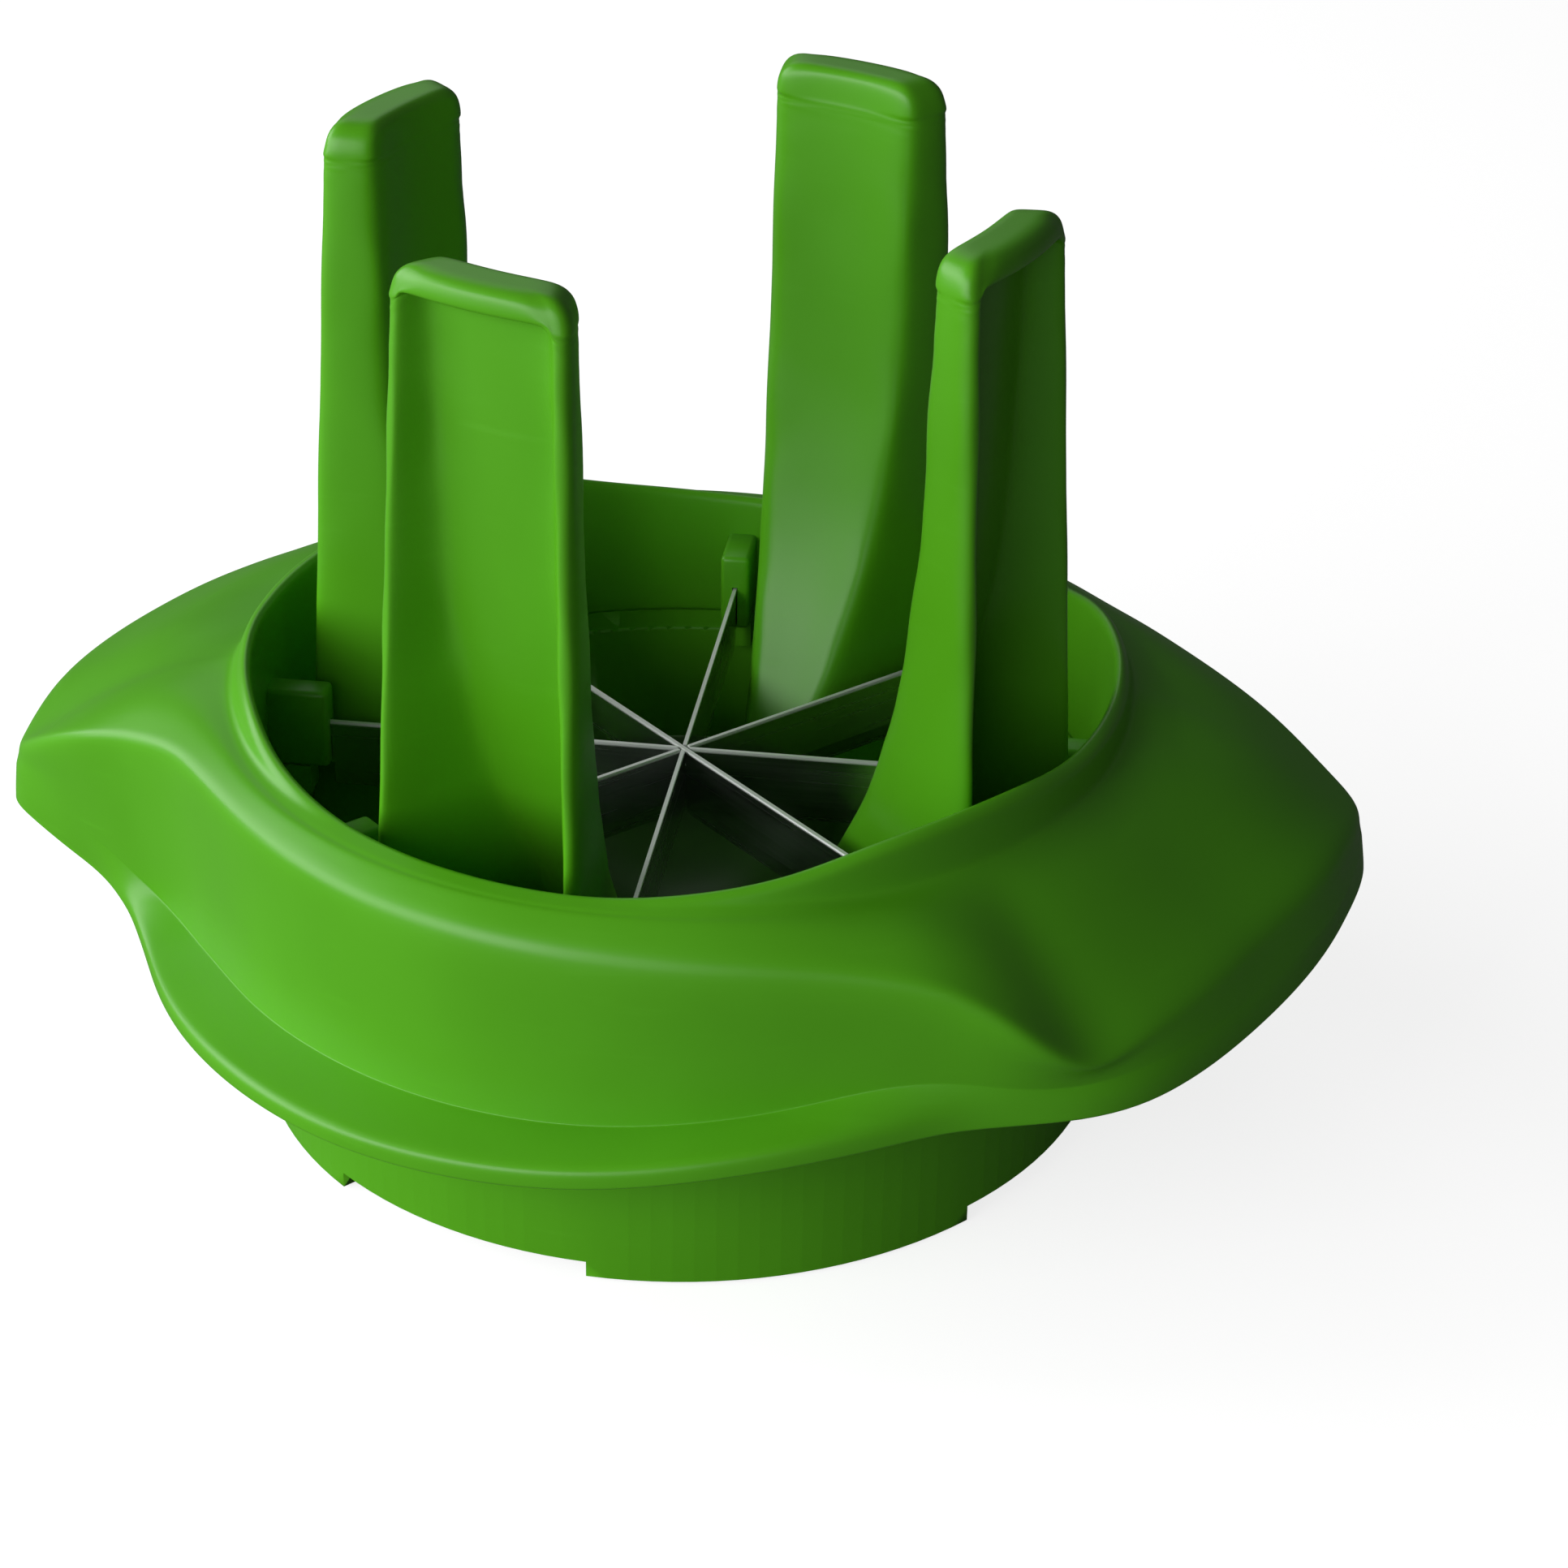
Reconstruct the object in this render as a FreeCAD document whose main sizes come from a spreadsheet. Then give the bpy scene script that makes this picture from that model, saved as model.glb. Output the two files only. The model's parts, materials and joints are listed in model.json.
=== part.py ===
"""Fruit wedger press: a winged blade ring that is pushed down over a four-fingered fruit cradle.

Millimetres, +Z up. The origin is the press's axis at the table. The wing tips point along +X and -X.
"""
import FreeCAD, Part
import math
import os
import Sketcher

# Driving sizes. Heights are above the table unless the name says what they are measured from.
SIZES = {
    # winged frame
    "throat_radius": 64.4,      # inside of the ring that slides over the fingers
    "frame_wall": 2.8,
    "blade_top": 51.9,          # upper edges of the blades
    "seam_height": 43.1,        # parting face between the frame and the blade retainer
    "deck_foot": 11.0,          # deck where it meets the lip, above the blades
    "foot_reach": 1.6,          # width of the groove between the lip and the deck
    "edge_ease": 0.9,           # chamfers on the lip and on the skirt's edge
    "skirt_reach": 15.9,        # skirt edge beyond the throat wall, between the wings
    "skirt_band": 3.4,          # height of the upright band along the skirt edge
    # posts that hold the blades
    "post_width": 4.8,
    "post_reach": 9.4,          # inward from the throat wall
    "post_top": 5.5,            # post top at its inner end, above the blades
    "post_rise": 0.6,           # rise of the post top from its inner end to the throat wall
    # blades
    "blade_thickness": 0.6,
    "blade_depth": 11.0,
    "blade_bevel": 2.5,         # height of the ground edge
    "blade_edge": 0.16,         # thickness left at the cutting edge
    "tongue_gap": 2.5,          # from the tip of a blade's end tongue to the throat wall
    "slot_clearance": 0.1,      # between blade and slot, all round
    "neck_gap": 0.1,            # between the necks of crossing blades
    # blade retainer
    "retainer_height": 3.1,
    "lug_reach": 6.4,           # inward reach of the lugs under the posts
    "lug_rise": 1.6,            # rise of the lugs above the seam, up to the posts
    "lug_gap": 0.3,             # between a lug's outer end and the throat wall
    "screw_offset": 2.35,       # screw axis beyond the outside of the throat wall
    "boss_radius": 3.0,
    "pilot_radius": 0.9,
    "screw_radius": 1.1,
    "screw_clearance": 0.15,
    "screw_head_radius": 2.0,
    "screw_head_height": 1.5,
    "screw_bite": 7.0,          # length of screw inside the boss or the foot
    # base tub
    "tub_lap": 1.3,             # outside of the tub beyond the throat wall
    "tub_wall": 2.6,
    "floor_bottom": 6.0,
    "floor_thickness": 2.6,
    "notch_height": 2.5,
    "notch_half_angle": 19.0,
    # finger cradle
    "cradle_height": 145.4,
    "cradle_gap": 1.0,          # between the tub's wall and the feet of the fingers
    "finger_lean": 7.5,         # inward lean of a finger's outer face from floor to top
    "finger_thickness": 8.7,    # between a finger's outer face at its top and the fruit pocket
    "pocket_depth": 88.0,       # from the pocket's widest level down to its bottom
    "pocket_level": 112.4,      # widest level of the pocket
    "bowl_rim": 40.0,           # rim of the bowl between the fingers
    "web_thickness": 3.3,
    "rib_thickness": 3.0,       # side walls of a finger's channel
    "finger_cap": 3.9,          # closed top of the channel
    "pocket_draft": 1.4,        # degrees, above the pocket's widest level
    "finger_gap": 4.6,          # from the middle of the blade beside it to a finger's flank, at the floor
    "finger_draft": 0.84,       # degrees
    "finger_nose": 4.5,         # half width of the blunt end nearest the axis
    "finger_turn": 67.5,        # azimuth of the first finger, degrees
    "finger_shoulder": 4.0,     # radius of the two top corners of a finger
    "foot_height": 6.0,         # solid foot at the bottom of each channel
    "foot_screw_inset": 7.1,    # from the outer face of a foot in to its screw
}
SPOKES = 8
FINGERS = 4
SCREWS = 4
QUARTER = 360.0 / FINGERS

# Design sections of the wing on half of the ring; the other half repeats them. Columns: azimuth, reach of
# the skirt edge beyond skirt_reach, height of that edge, reach and height of the hollow above the edge, reach
# and height of the crest between wall and deck, softness of the crest, height of the lip above the deck.
# Reaches are beyond the throat wall, and heights are above the blades.
COLUMNS = ("azimuth", "edge_flare", "edge_level", "hollow_reach", "hollow_level",
           "crest_reach", "crest_level", "softness", "lip_rise")
SECTIONS = {
    "tip": (183.4, 21.7, -14.5, 36.6, -8.5, 35.6, -4.0, 2.2, 7.0),
    "nose": (187.0, 14.7, -17.5, 30.6, -10.5, 31.8, -0.3, 2.2, 6.9),
    "flank": (191.5, 5.5, -21.5, 21.4, -14.5, 25.0, 4.6, 2.2, 6.6),
    "waist": (197.0, 1.4, -24.5, 13.0, -19.5, 16.0, 8.3, 2.2, 6.4),
    "bight": (204.0, 0.1, -26.5, 9.5, -22.5, 9.8, 9.9, 2.2, 5.5),
    "bay": (215.0, 0.0, -27.5, 8.0, -23.0, 7.0, 9.3, 2.2, 3.0),
    "front": (237.0, 0.0, -27.4, 7.6, -22.5, 5.8, 8.6, 2.6, 1.0),
    "face": (264.0, 0.0, -25.3, 7.8, -21.5, 6.0, 8.1, 3.4, 0.7),
    "turn": (288.0, 0.0, -21.0, 9.6, -18.0, 8.6, 7.2, 4.4, 3.3),
    "corner": (304.0, 0.5, -19.2, 15.0, -13.0, 16.5, 4.6, 5.0, 7.3),
    "shoulder": (318.0, 10.3, -18.7, 27.3, -13.0, 28.0, -1.5, 7.0, 8.3),
    "dome": (338.0, 13.7, -18.2, 31.0, -12.0, 30.2, 0.4, 8.0, 6.6),
    "lead": (354.0, 18.5, -16.3, 35.6, -11.0, 34.0, -0.5, 6.0, 6.6),
}
HALF_TURN = 180.0
COLUMNS_OF_POLES = 96
CROWDING = 18.9                 # degrees by which pole columns crowd towards the wing tips
FIRST_COLUMN = 4.5              # azimuth about which they crowd

doc = FreeCAD.newDocument("fruit_wedger_press")
sheet = doc.addObject("Spreadsheet::Sheet", "sizes")


def fill_sheet():
    """Put every driving size into the spreadsheet under its own alias."""
    cells = dict(SIZES)
    for section, values in SECTIONS.items():
        for column, value in zip(COLUMNS, values):
            cells[section + "_" + column] = value
    for row, (alias, value) in enumerate(cells.items(), start=1):
        sheet.set("A%d" % row, alias)
        sheet.set("B%d" % row, str(value))
        sheet.setAlias("B%d" % row, alias)
    doc.recompute()


def size(alias):
    return float(getattr(sheet, alias))


def bind(feature, **expressions):
    """Bind properties to expressions on the sheet; a double underscore stands for a dot."""
    for path, expression in expressions.items():
        feature.setExpression(path.replace("__", "."), cells(expression))
    return feature


def cells(expression):
    """Write [alias] as a reference to the spreadsheet."""
    return expression.replace("[", "<<sizes>>.").replace("]", "")


def add(kind, name, **expressions):
    return bind(doc.addObject(kind, name), **expressions)


# ---------------------------------------------------------------- winged frame

def smooth(angles, values, angle):
    """Monotone cubic through values that repeat every half turn."""
    count = len(angles)
    angle = angles[0] + (angle - angles[0]) % HALF_TURN

    def at(i):
        return angles[i % count] + HALF_TURN * (i // count), values[i % count]

    def slope(i):
        (a0, v0), (a1, v1), (a2, v2) = at(i - 1), at(i), at(i + 1)
        before = (v1 - v0) / (a1 - a0)
        after = (v2 - v1) / (a2 - a1)
        if before * after <= 0:
            return 0.0
        weight_before = 2 * (a2 - a1) + (a1 - a0)
        weight_after = (a2 - a1) + 2 * (a1 - a0)
        return (weight_before + weight_after) / (weight_before / before + weight_after / after)

    i = max(k for k in range(count) if angles[k] <= angle)
    (a0, v0), (a1, v1) = at(i), at(i + 1)
    span = a1 - a0
    u = (angle - a0) / span
    return ((1 + 2 * u) * (1 - u) ** 2 * v0 + u * (1 - u) ** 2 * span * slope(i)
            + u * u * (3 - 2 * u) * v1 + u * u * (u - 1) * span * slope(i + 1))


def wing_section(azimuth):
    """Control points (radius, height) of a section in three runs: lip, skin from lip to skirt, and band."""
    angles = [size(name + "_azimuth") for name in SECTIONS]
    value = {}
    for column in COLUMNS[1:]:
        value[column] = smooth(angles, [size(name + "_" + column) for name in SECTIONS], azimuth)
    inner = size("throat_radius")
    outer = inner + size("frame_wall")
    level = size("blade_top")
    ease = size("edge_ease")
    foot_r = outer + size("foot_reach")
    foot_z = level + size("deck_foot")
    lip_z = foot_z + value["lip_rise"]
    lip_side = 0.6 * value["lip_rise"]
    lip_ease = min(ease, lip_side)
    edge_r = outer + size("skirt_reach") + value["edge_flare"]
    edge_z = level + value["edge_level"]
    band_z = edge_z + size("skirt_band")
    hollow_r = outer + value["hollow_reach"]
    hollow_z = level + value["hollow_level"]
    crest_r = outer + value["crest_reach"]
    crest_z = level + value["crest_level"]
    soft = value["softness"]
    run = crest_r - foot_r
    lip = [
        (inner, size("seam_height")),
        (inner, lip_z - ease),
        (inner + ease, lip_z),
        (outer - lip_ease, lip_z),
        (outer, lip_z - lip_ease),
    ]
    skin = [
        (outer, lip_z - lip_ease),
        (outer + 0.25 * size("foot_reach"), foot_z + 0.3 * lip_side),
        (foot_r, foot_z),
        (foot_r + 0.45 * run, foot_z + 0.45 * (crest_z - foot_z) + 0.10 * run),
        (crest_r - soft, crest_z + 0.35 * soft),
        (crest_r, crest_z),
        (crest_r + 0.25 * soft, crest_z - soft),
        (0.45 * crest_r + 0.55 * hollow_r, 0.45 * crest_z + 0.55 * hollow_z),
        (hollow_r, hollow_z),
        (edge_r - ease, band_z),
    ]
    band = [
        (edge_r - ease, band_z),
        (edge_r, band_z - ease),
        (edge_r, edge_z),
    ]
    return lip, skin, band


DECK, CREST, WALL, HOLLOW = 3, 5, 7, 8      # rows of the skin that the underside follows


def column_azimuths():
    turn = 2 * math.pi / COLUMNS_OF_POLES
    return [360.0 * k / COLUMNS_OF_POLES - CROWDING * math.sin(2 * turn * k) + FIRST_COLUMN
            for k in range(COLUMNS_OF_POLES)]


def point(radius, azimuth, height):
    a = math.radians(azimuth)
    return FreeCAD.Vector(radius * math.cos(a), radius * math.sin(a), height)


def ring_pole(radius, height, column, azimuths):
    """A pole of the ring; its radius is raised so that the curve, not its polygon, has that radius."""
    count = len(azimuths)
    before = math.radians(azimuths[column] - azimuths[column - 1])
    after = math.radians(azimuths[(column + 1) % count] - azimuths[column])
    factor = 6.0 / (4.0 + math.cos(before) + math.cos(after))
    return point(radius * factor, azimuths[column], height)


def ring_face(rows):
    """A face round the ring: rows of poles across it, each row closed on itself."""
    degree = min(3, len(rows) - 1)
    spans = len(rows) - degree
    columns = len(rows[0])
    across = [degree + 1] + [1] * (spans - 1) + [degree + 1]
    surface = Part.BSplineSurface()
    surface.buildFromPolesMultsKnots(rows, across, [1] * (columns + 1), list(range(spans + 1)),
                                     list(range(columns + 1)), False, True, degree, 3)
    return surface.toShape()


def inward(rows, row, column):
    """Unit normal into the wall at a pole of the outer skin."""
    columns = len(rows[0])
    along = rows[row][(column + 1) % columns] - rows[row][column - 1]
    across = rows[min(row + 1, len(rows) - 1)][column] - rows[row - 1][column]
    normal = along.cross(across)
    normal.normalize()
    return normal


def strips(rows):
    """Straight-sided faces between neighbouring rows."""
    return [ring_face(pair) for pair in zip(rows, rows[1:])]


def wing_shell():
    """The frame's moulded skin as one solid: lip, outer skin, skirt band, underside and throat wall."""
    azimuths = column_azimuths()
    columns = range(len(azimuths))
    wall = size("frame_wall")
    sections = [wing_section(a) for a in azimuths]

    def rows_of(run):
        return [[ring_pole(*sections[k][run][row], k, azimuths) for k in columns]
                for row in range(len(sections[0][run]))]

    lip, skin, band = [rows_of(run) for run in range(3)]
    skin[0] = lip[-1]
    band[0] = skin[-1]

    edge_in = []
    band_in = []
    for k in columns:
        side = inward(band, len(band) - 1, k)
        side.z = 0.0
        side.normalize()
        bottom = band[-1][k] + side * wall
        edge_in.append(bottom)
        band_in.append(bottom + FreeCAD.Vector(0, 0, max(0.6, size("skirt_band") - wall)))
    under = [edge_in, band_in]
    for row in (HOLLOW, WALL, CREST, DECK):
        under.append([skin[row][k] + inward(skin, row, k) * wall for k in columns])
    outer = size("throat_radius") + wall
    ceiling = size("blade_top") + size("deck_foot") - wall
    under.append([ring_pole(outer, ceiling, k, azimuths) for k in columns])
    tube_out = [ring_pole(outer, size("seam_height"), k, azimuths) for k in columns]

    faces = strips(lip) + [ring_face(skin)] + strips(band + [edge_in]) + [ring_face(under)]
    faces += strips([under[-1], tube_out, lip[0]])
    shell = Part.makeShell(faces)
    shell.sewShape()
    solid = Part.Solid(shell)
    if solid.Volume < 0:
        solid.reverse()
    return solid


def turned(feature, azimuth, reach="0", height="0"):
    """Place a feature at an azimuth, a distance from the axis and a height."""
    angle = "(%s) * 1 deg" % azimuth
    return bind(feature, Placement__Base__x="(%s) * cos(%s)" % (reach, angle),
                Placement__Base__y="(%s) * sin(%s)" % (reach, angle), Placement__Base__z=height,
                Placement__Rotation__Angle="(%s) * 1 deg" % azimuth)


def fuse(name, shapes):
    fused = doc.addObject("Part::MultiFuse", name)
    fused.Shapes = shapes
    fused.Refine = False
    return fused


def cut(name, base, tool):
    result = doc.addObject("Part::Cut", name)
    result.Base = base
    result.Tool = tool
    result.Refine = False
    return result


THROAT_OUTER = "([throat_radius] + [frame_wall])"
POST_INNER = "([throat_radius] - [post_reach])"
LUG_TOP = "([seam_height] + [lug_rise])"
SCREW_CIRCLE = "(%s + [screw_offset])" % THROAT_OUTER
SLOT_WIDTH = "([blade_thickness] + 2 * [slot_clearance])"
TONGUE_TIP = "([throat_radius] - [tongue_gap])"


def press_frame():
    """Wing shell with posts and screw bosses, slotted for the blades."""
    shell = doc.addObject("Part::Feature", "wing_shell")
    shell.Shape = wing_shell()
    posts = []
    for index in range(SPOKES):
        azimuth = str(360.0 / SPOKES * index)
        block = add("Part::Box", "post_block_%d" % (index + 1), Width="[post_width]",
                    Length="[throat_radius] + [frame_wall] / 2 - " + POST_INNER,
                    Height="[blade_top] + [post_top] + [post_rise] - " + LUG_TOP)
        angle = "%s * 1 deg" % azimuth
        side = "[post_width] / 2"
        bind(block, Placement__Base__x="%s * cos(%s) + %s * sin(%s)" % (POST_INNER, angle, side, angle),
             Placement__Base__y="%s * sin(%s) - %s * cos(%s)" % (POST_INNER, angle, side, angle),
             Placement__Base__z=LUG_TOP, Placement__Rotation__Angle=angle)
        posts.append(block)
    slope = add("Part::Cone", "post_slope", Radius1=POST_INNER + " - [post_rise]", Radius2=THROAT_OUTER,
                Height="[post_rise] * ([post_reach] + [frame_wall] + [post_rise]) / [post_reach]",
                Placement__Base__z="[blade_top] + [post_top] - [post_rise] * [post_rise] / [post_reach]")
    sloped = cut("posts", fuse("post_blocks", posts), slope)

    bosses = []
    pilots = []
    for index in range(SCREWS):
        azimuth = str(QUARTER * (index + 0.25))
        boss = add("Part::Cylinder", "boss_%d" % (index + 1), Radius="[boss_radius]",
                   Height="[blade_top] + [deck_foot] - [frame_wall] / 2 - [seam_height]")
        pilot = add("Part::Cylinder", "pilot_%d" % (index + 1), Radius="[pilot_radius]",
                    Height="[screw_bite] + 1")
        bosses.append(turned(boss, azimuth, SCREW_CIRCLE, "[seam_height]"))
        pilots.append(turned(pilot, azimuth, SCREW_CIRCLE, "[seam_height]"))
    slots = []
    for index in range(SPOKES // 2):
        azimuth = 360.0 / SPOKES * index
        half = "(%s + [slot_clearance])" % TONGUE_TIP
        slot = add("Part::Box", "slot_%d" % (index + 1), Length="2 * " + half,
                   Width=SLOT_WIDTH, Height="[blade_top] + [slot_clearance] - [seam_height]")
        angle = "%s * 1 deg" % azimuth
        bind(slot, Placement__Base__x="-%s * cos(%s) + %s / 2 * sin(%s)" % (half, angle, SLOT_WIDTH, angle),
             Placement__Base__y="-%s * sin(%s) - %s / 2 * cos(%s)" % (half, angle, SLOT_WIDTH, angle),
             Placement__Base__z="[seam_height]", Placement__Rotation__Angle=angle)
        slots.append(slot)
    body = fuse("frame_body", [shell, sloped] + bosses)
    return cut("press_frame", body, fuse("frame_cuts", slots + pilots))


# ---------------------------------------------------------------- sketches in bodies

def new_body(name):
    body = doc.addObject("PartDesign::Body", name)
    body.AllowCompound = True
    return body


def new_sketch(body, name, role, lift="0"):
    """Sketch on one of the body's own origin planes, lifted along that plane's normal."""
    sketch = body.newObject("Sketcher::SketchObject", name)
    plane = [p for p in body.Origin.OriginFeatures if p.Role == role][0]
    sketch.AttachmentSupport = [(plane, "")]
    sketch.MapMode = "FlatFace"
    return bind(sketch, AttachmentOffset__Base__z=lift)


def locate(sketch, index, end, x, y):
    """Bind a point of a sketch element to two expressions."""
    for kind, expression in (("DistanceX", x), ("DistanceY", y)):
        constraint = sketch.addConstraint(Sketcher.Constraint(kind, -1, 1, index, end, 1.0))
        bind(sketch, **{"Constraints[%d]" % constraint: expression})


def polygon(sketch, corners):
    """Closed outline whose corners are pairs of expressions."""
    first = sketch.GeometryCount
    count = len(corners)
    start = [point(10.0, 360.0 * i / count, 0.0) for i in range(count)]
    for i in range(count):
        sketch.addGeometry(Part.LineSegment(start[i], start[(i + 1) % count]), False)
    for i in range(count):
        sketch.addConstraint(Sketcher.Constraint("Coincident", first + i, 2, first + (i + 1) % count, 1))
    for i, (x, y) in enumerate(corners):
        locate(sketch, first + i, 1, x, y)
    return sketch


def circle(sketch, radius, x="0", y="0"):
    index = sketch.addGeometry(Part.Circle(FreeCAD.Vector(1, 1, 0), FreeCAD.Vector(0, 0, 1), 1.0), False)
    locate(sketch, index, 3, x, y)
    constraint = sketch.addConstraint(Sketcher.Constraint("Radius", index, 1.0))
    bind(sketch, **{"Constraints[%d]" % constraint: radius})
    return sketch


def rectangle(sketch, x0, x1, y0, y1):
    return polygon(sketch, [(x0, y0), (x1, y0), (x1, y1), (x0, y1)])


def pad(body, sketch, length, midplane=False, reverse=False):
    feature = body.newObject("PartDesign::Pad", sketch.Name + "_pad")
    feature.Profile = sketch
    feature.Midplane = midplane
    feature.Reversed = reverse
    return bind(feature, Length=length)


def pocket(body, sketch, length, midplane=False, reverse=False):
    feature = body.newObject("PartDesign::Pocket", sketch.Name + "_pocket")
    feature.Profile = sketch
    feature.Midplane = midplane
    feature.Reversed = reverse
    return bind(feature, Length=length)


def polar(body, features, count, name):
    """Repeat features round the body's Z axis."""
    pattern = body.newObject("PartDesign::PolarPattern", name)
    pattern.Originals = features
    pattern.Axis = ([p for p in body.Origin.OriginFeatures if p.Role == "Z_Axis"][0], [""])
    pattern.Angle = 360.0
    pattern.Occurrences = count
    body.Tip = pattern
    return pattern


# ---------------------------------------------------------------- blades and their retainer

def blade(index):
    """One blade across the ring. At the axis each blade keeps its own quarter of the height."""
    body = new_body("blade_%d" % (index + 1))
    half = "[blade_thickness] / 2"
    edge = "[blade_edge] / 2"
    bottom = "[blade_top] - [blade_depth]"
    ground = "[blade_top] - [blade_depth] + [blade_bevel]"
    blank = new_sketch(body, "strip_%d" % (index + 1), "YZ_Plane")
    polygon(blank, [("-" + half, "[blade_top]"), ("-" + half, ground), ("-" + edge, bottom),
                    (edge, bottom), (half, ground), (half, "[blade_top]")])
    pad(body, blank, "2 * (%s - 4 * [slot_clearance])" % POST_INNER, midplane=True)
    tongue = new_sketch(body, "tongue_%d" % (index + 1), "YZ_Plane")
    rectangle(tongue, "-" + half, half, LUG_TOP, "[blade_top]")
    pad(body, tongue, "2 * " + TONGUE_TIP, midplane=True)
    lap = "([blade_thickness] + 3 * [slot_clearance])"
    quarter = "[blade_depth] / (%d)" % (SPOKES // 2)
    notch = new_sketch(body, "lap_%d" % (index + 1), "XZ_Plane")
    low = "%s + %d * %s + [neck_gap] / 2" % (bottom, index, quarter)
    high = "%s + %d * %s - [neck_gap] / 2" % (bottom, index + 1, quarter)
    if index > 0:
        rectangle(notch, "-" + lap, lap, bottom + " - 1", low)
    if index < SPOKES // 2 - 1:
        rectangle(notch, "-" + lap, lap, high, "[blade_top] + 1")
    pocket(body, notch, "4 * [blade_thickness]", midplane=True)
    bind(body, Placement__Rotation__Angle="%s * 1 deg" % (360.0 / SPOKES * index))
    return body


def blade_retainer():
    """Ring screwed up under the frame; its lugs close the blade slots from below."""
    body = new_body("blade_retainer")
    bottom = "[seam_height] - [retainer_height]"
    ring = new_sketch(body, "retainer_ring", "XY_Plane", bottom)
    circle(ring, THROAT_OUTER)
    circle(ring, "[throat_radius]")
    pad(body, ring, "[retainer_height]")
    middle = "([throat_radius] + [frame_wall] / 2)"
    lug = new_sketch(body, "retainer_lug", "XY_Plane", bottom)
    rectangle(lug, "[throat_radius] - [lug_reach]", middle, "-[post_width] / 2", "[post_width] / 2")
    polar(body, [pad(body, lug, "[retainer_height]")], SPOKES, "retainer_lugs")
    riser = new_sketch(body, "retainer_riser", "XY_Plane", "[seam_height]")
    rectangle(riser, "[throat_radius] - [lug_reach]", "[throat_radius] - [lug_gap]",
              "-[post_width] / 2", "[post_width] / 2")
    polar(body, [pad(body, riser, "[lug_rise]")], SPOKES, "retainer_risers")
    turn = "(%s * 1 deg)" % (QUARTER / 4)
    ear = new_sketch(body, "retainer_ear", "XY_Plane", bottom)
    spot = ("%s * cos(%s)" % (SCREW_CIRCLE, turn), "%s * sin(%s)" % (SCREW_CIRCLE, turn))
    circle(ear, "[boss_radius]", *spot)
    ears = pad(body, ear, "[retainer_height]")
    polar(body, [ears], SCREWS, "retainer_ears")
    hole = new_sketch(body, "retainer_hole", "XY_Plane", bottom)
    circle(hole, "[screw_radius] + [screw_clearance]", *spot)
    holes = pocket(body, hole, "[retainer_height]", reverse=True)
    polar(body, [holes], SCREWS, "retainer_holes")
    return body


def screw_set(name, turn, reach, seat, shank):
    """Pan-head screws, heads downward, in one set; seat is the height of the faces under their heads."""
    parts = []
    for index in range(SCREWS):
        azimuth = "%s + %s" % (turn, QUARTER * index)
        head = add("Part::Cylinder", "%s_head_%d" % (name, index + 1), Radius="[screw_head_radius]",
                   Height="[screw_head_height]")
        stem = add("Part::Cylinder", "%s_stem_%d" % (name, index + 1), Radius="[screw_radius]", Height=shank)
        turned(head, azimuth, reach, "%s - [screw_head_height]" % seat)
        turned(stem, azimuth, reach, seat)
        parts.append(fuse("%s_%d" % (name, index + 1), [head, stem]))
    group = doc.addObject("Part::Compound", name)
    group.Links = parts
    return group


# ---------------------------------------------------------------- base tub and finger cradle

TUB_RADIUS = "([throat_radius] + [tub_lap])"
TUB_INSIDE = "(%s - [tub_wall])" % TUB_RADIUS
FOOT_RADIUS = "(%s - [cradle_gap])" % TUB_INSIDE
TOP_RADIUS = "(%s - [finger_lean])" % FOOT_RADIUS
POCKET_RADIUS = "(%s - [finger_thickness])" % TOP_RADIUS
FOOT_SCREW_CIRCLE = "(%s - [foot_screw_inset])" % FOOT_RADIUS
FLOOR = "([floor_bottom] + [floor_thickness])"


def base_tub():
    """Open tub with a raised floor, notched under each finger, its top edge the stop for the press."""
    body = new_body("base_tub")
    rim = "[seam_height] - [retainer_height]"
    profile = new_sketch(body, "tub_profile", "XZ_Plane")
    polygon(profile, [("0", "[floor_bottom]"), (TUB_INSIDE, "[floor_bottom]"), (TUB_INSIDE, "0"),
                      (TUB_RADIUS, "0"), (TUB_RADIUS, rim), (TUB_INSIDE, rim), (TUB_INSIDE, FLOOR),
                      ("0", FLOOR)])
    turn = body.newObject("PartDesign::Revolution", "tub")
    turn.Profile = profile
    turn.ReferenceAxis = (profile, ["V_Axis"])
    turn.Angle = 360.0
    notch = new_sketch(body, "tub_notch", "XY_Plane")
    points = []
    past_the_wall = "(%s + [tub_wall]) / cos([notch_half_angle] * 1 deg)" % TUB_RADIUS
    for radius in ("(%s - [tub_wall])" % TUB_INSIDE, past_the_wall):
        for side in ("-", "+"):
            angle = "(([finger_turn] %s [notch_half_angle]) * 1 deg)" % side
            points.append(("%s * cos(%s)" % (radius, angle), "%s * sin(%s)" % (radius, angle)))
    polygon(notch, [points[0], points[2], points[3], points[1]])
    notches = pocket(body, notch, "[notch_height]", reverse=True)
    polar(body, [notches], FINGERS, "tub_notches")
    hole = new_sketch(body, "tub_hole", "XY_Plane", "[floor_bottom]")
    angle = "([finger_turn] * 1 deg)"
    circle(hole, "[screw_radius] + [screw_clearance]",
           "%s * cos(%s)" % (FOOT_SCREW_CIRCLE, angle), "%s * sin(%s)" % (FOOT_SCREW_CIRCLE, angle))
    holes = pocket(body, hole, "[floor_thickness]", reverse=True)
    polar(body, [holes], FINGERS, "tub_holes")
    return body


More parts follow.
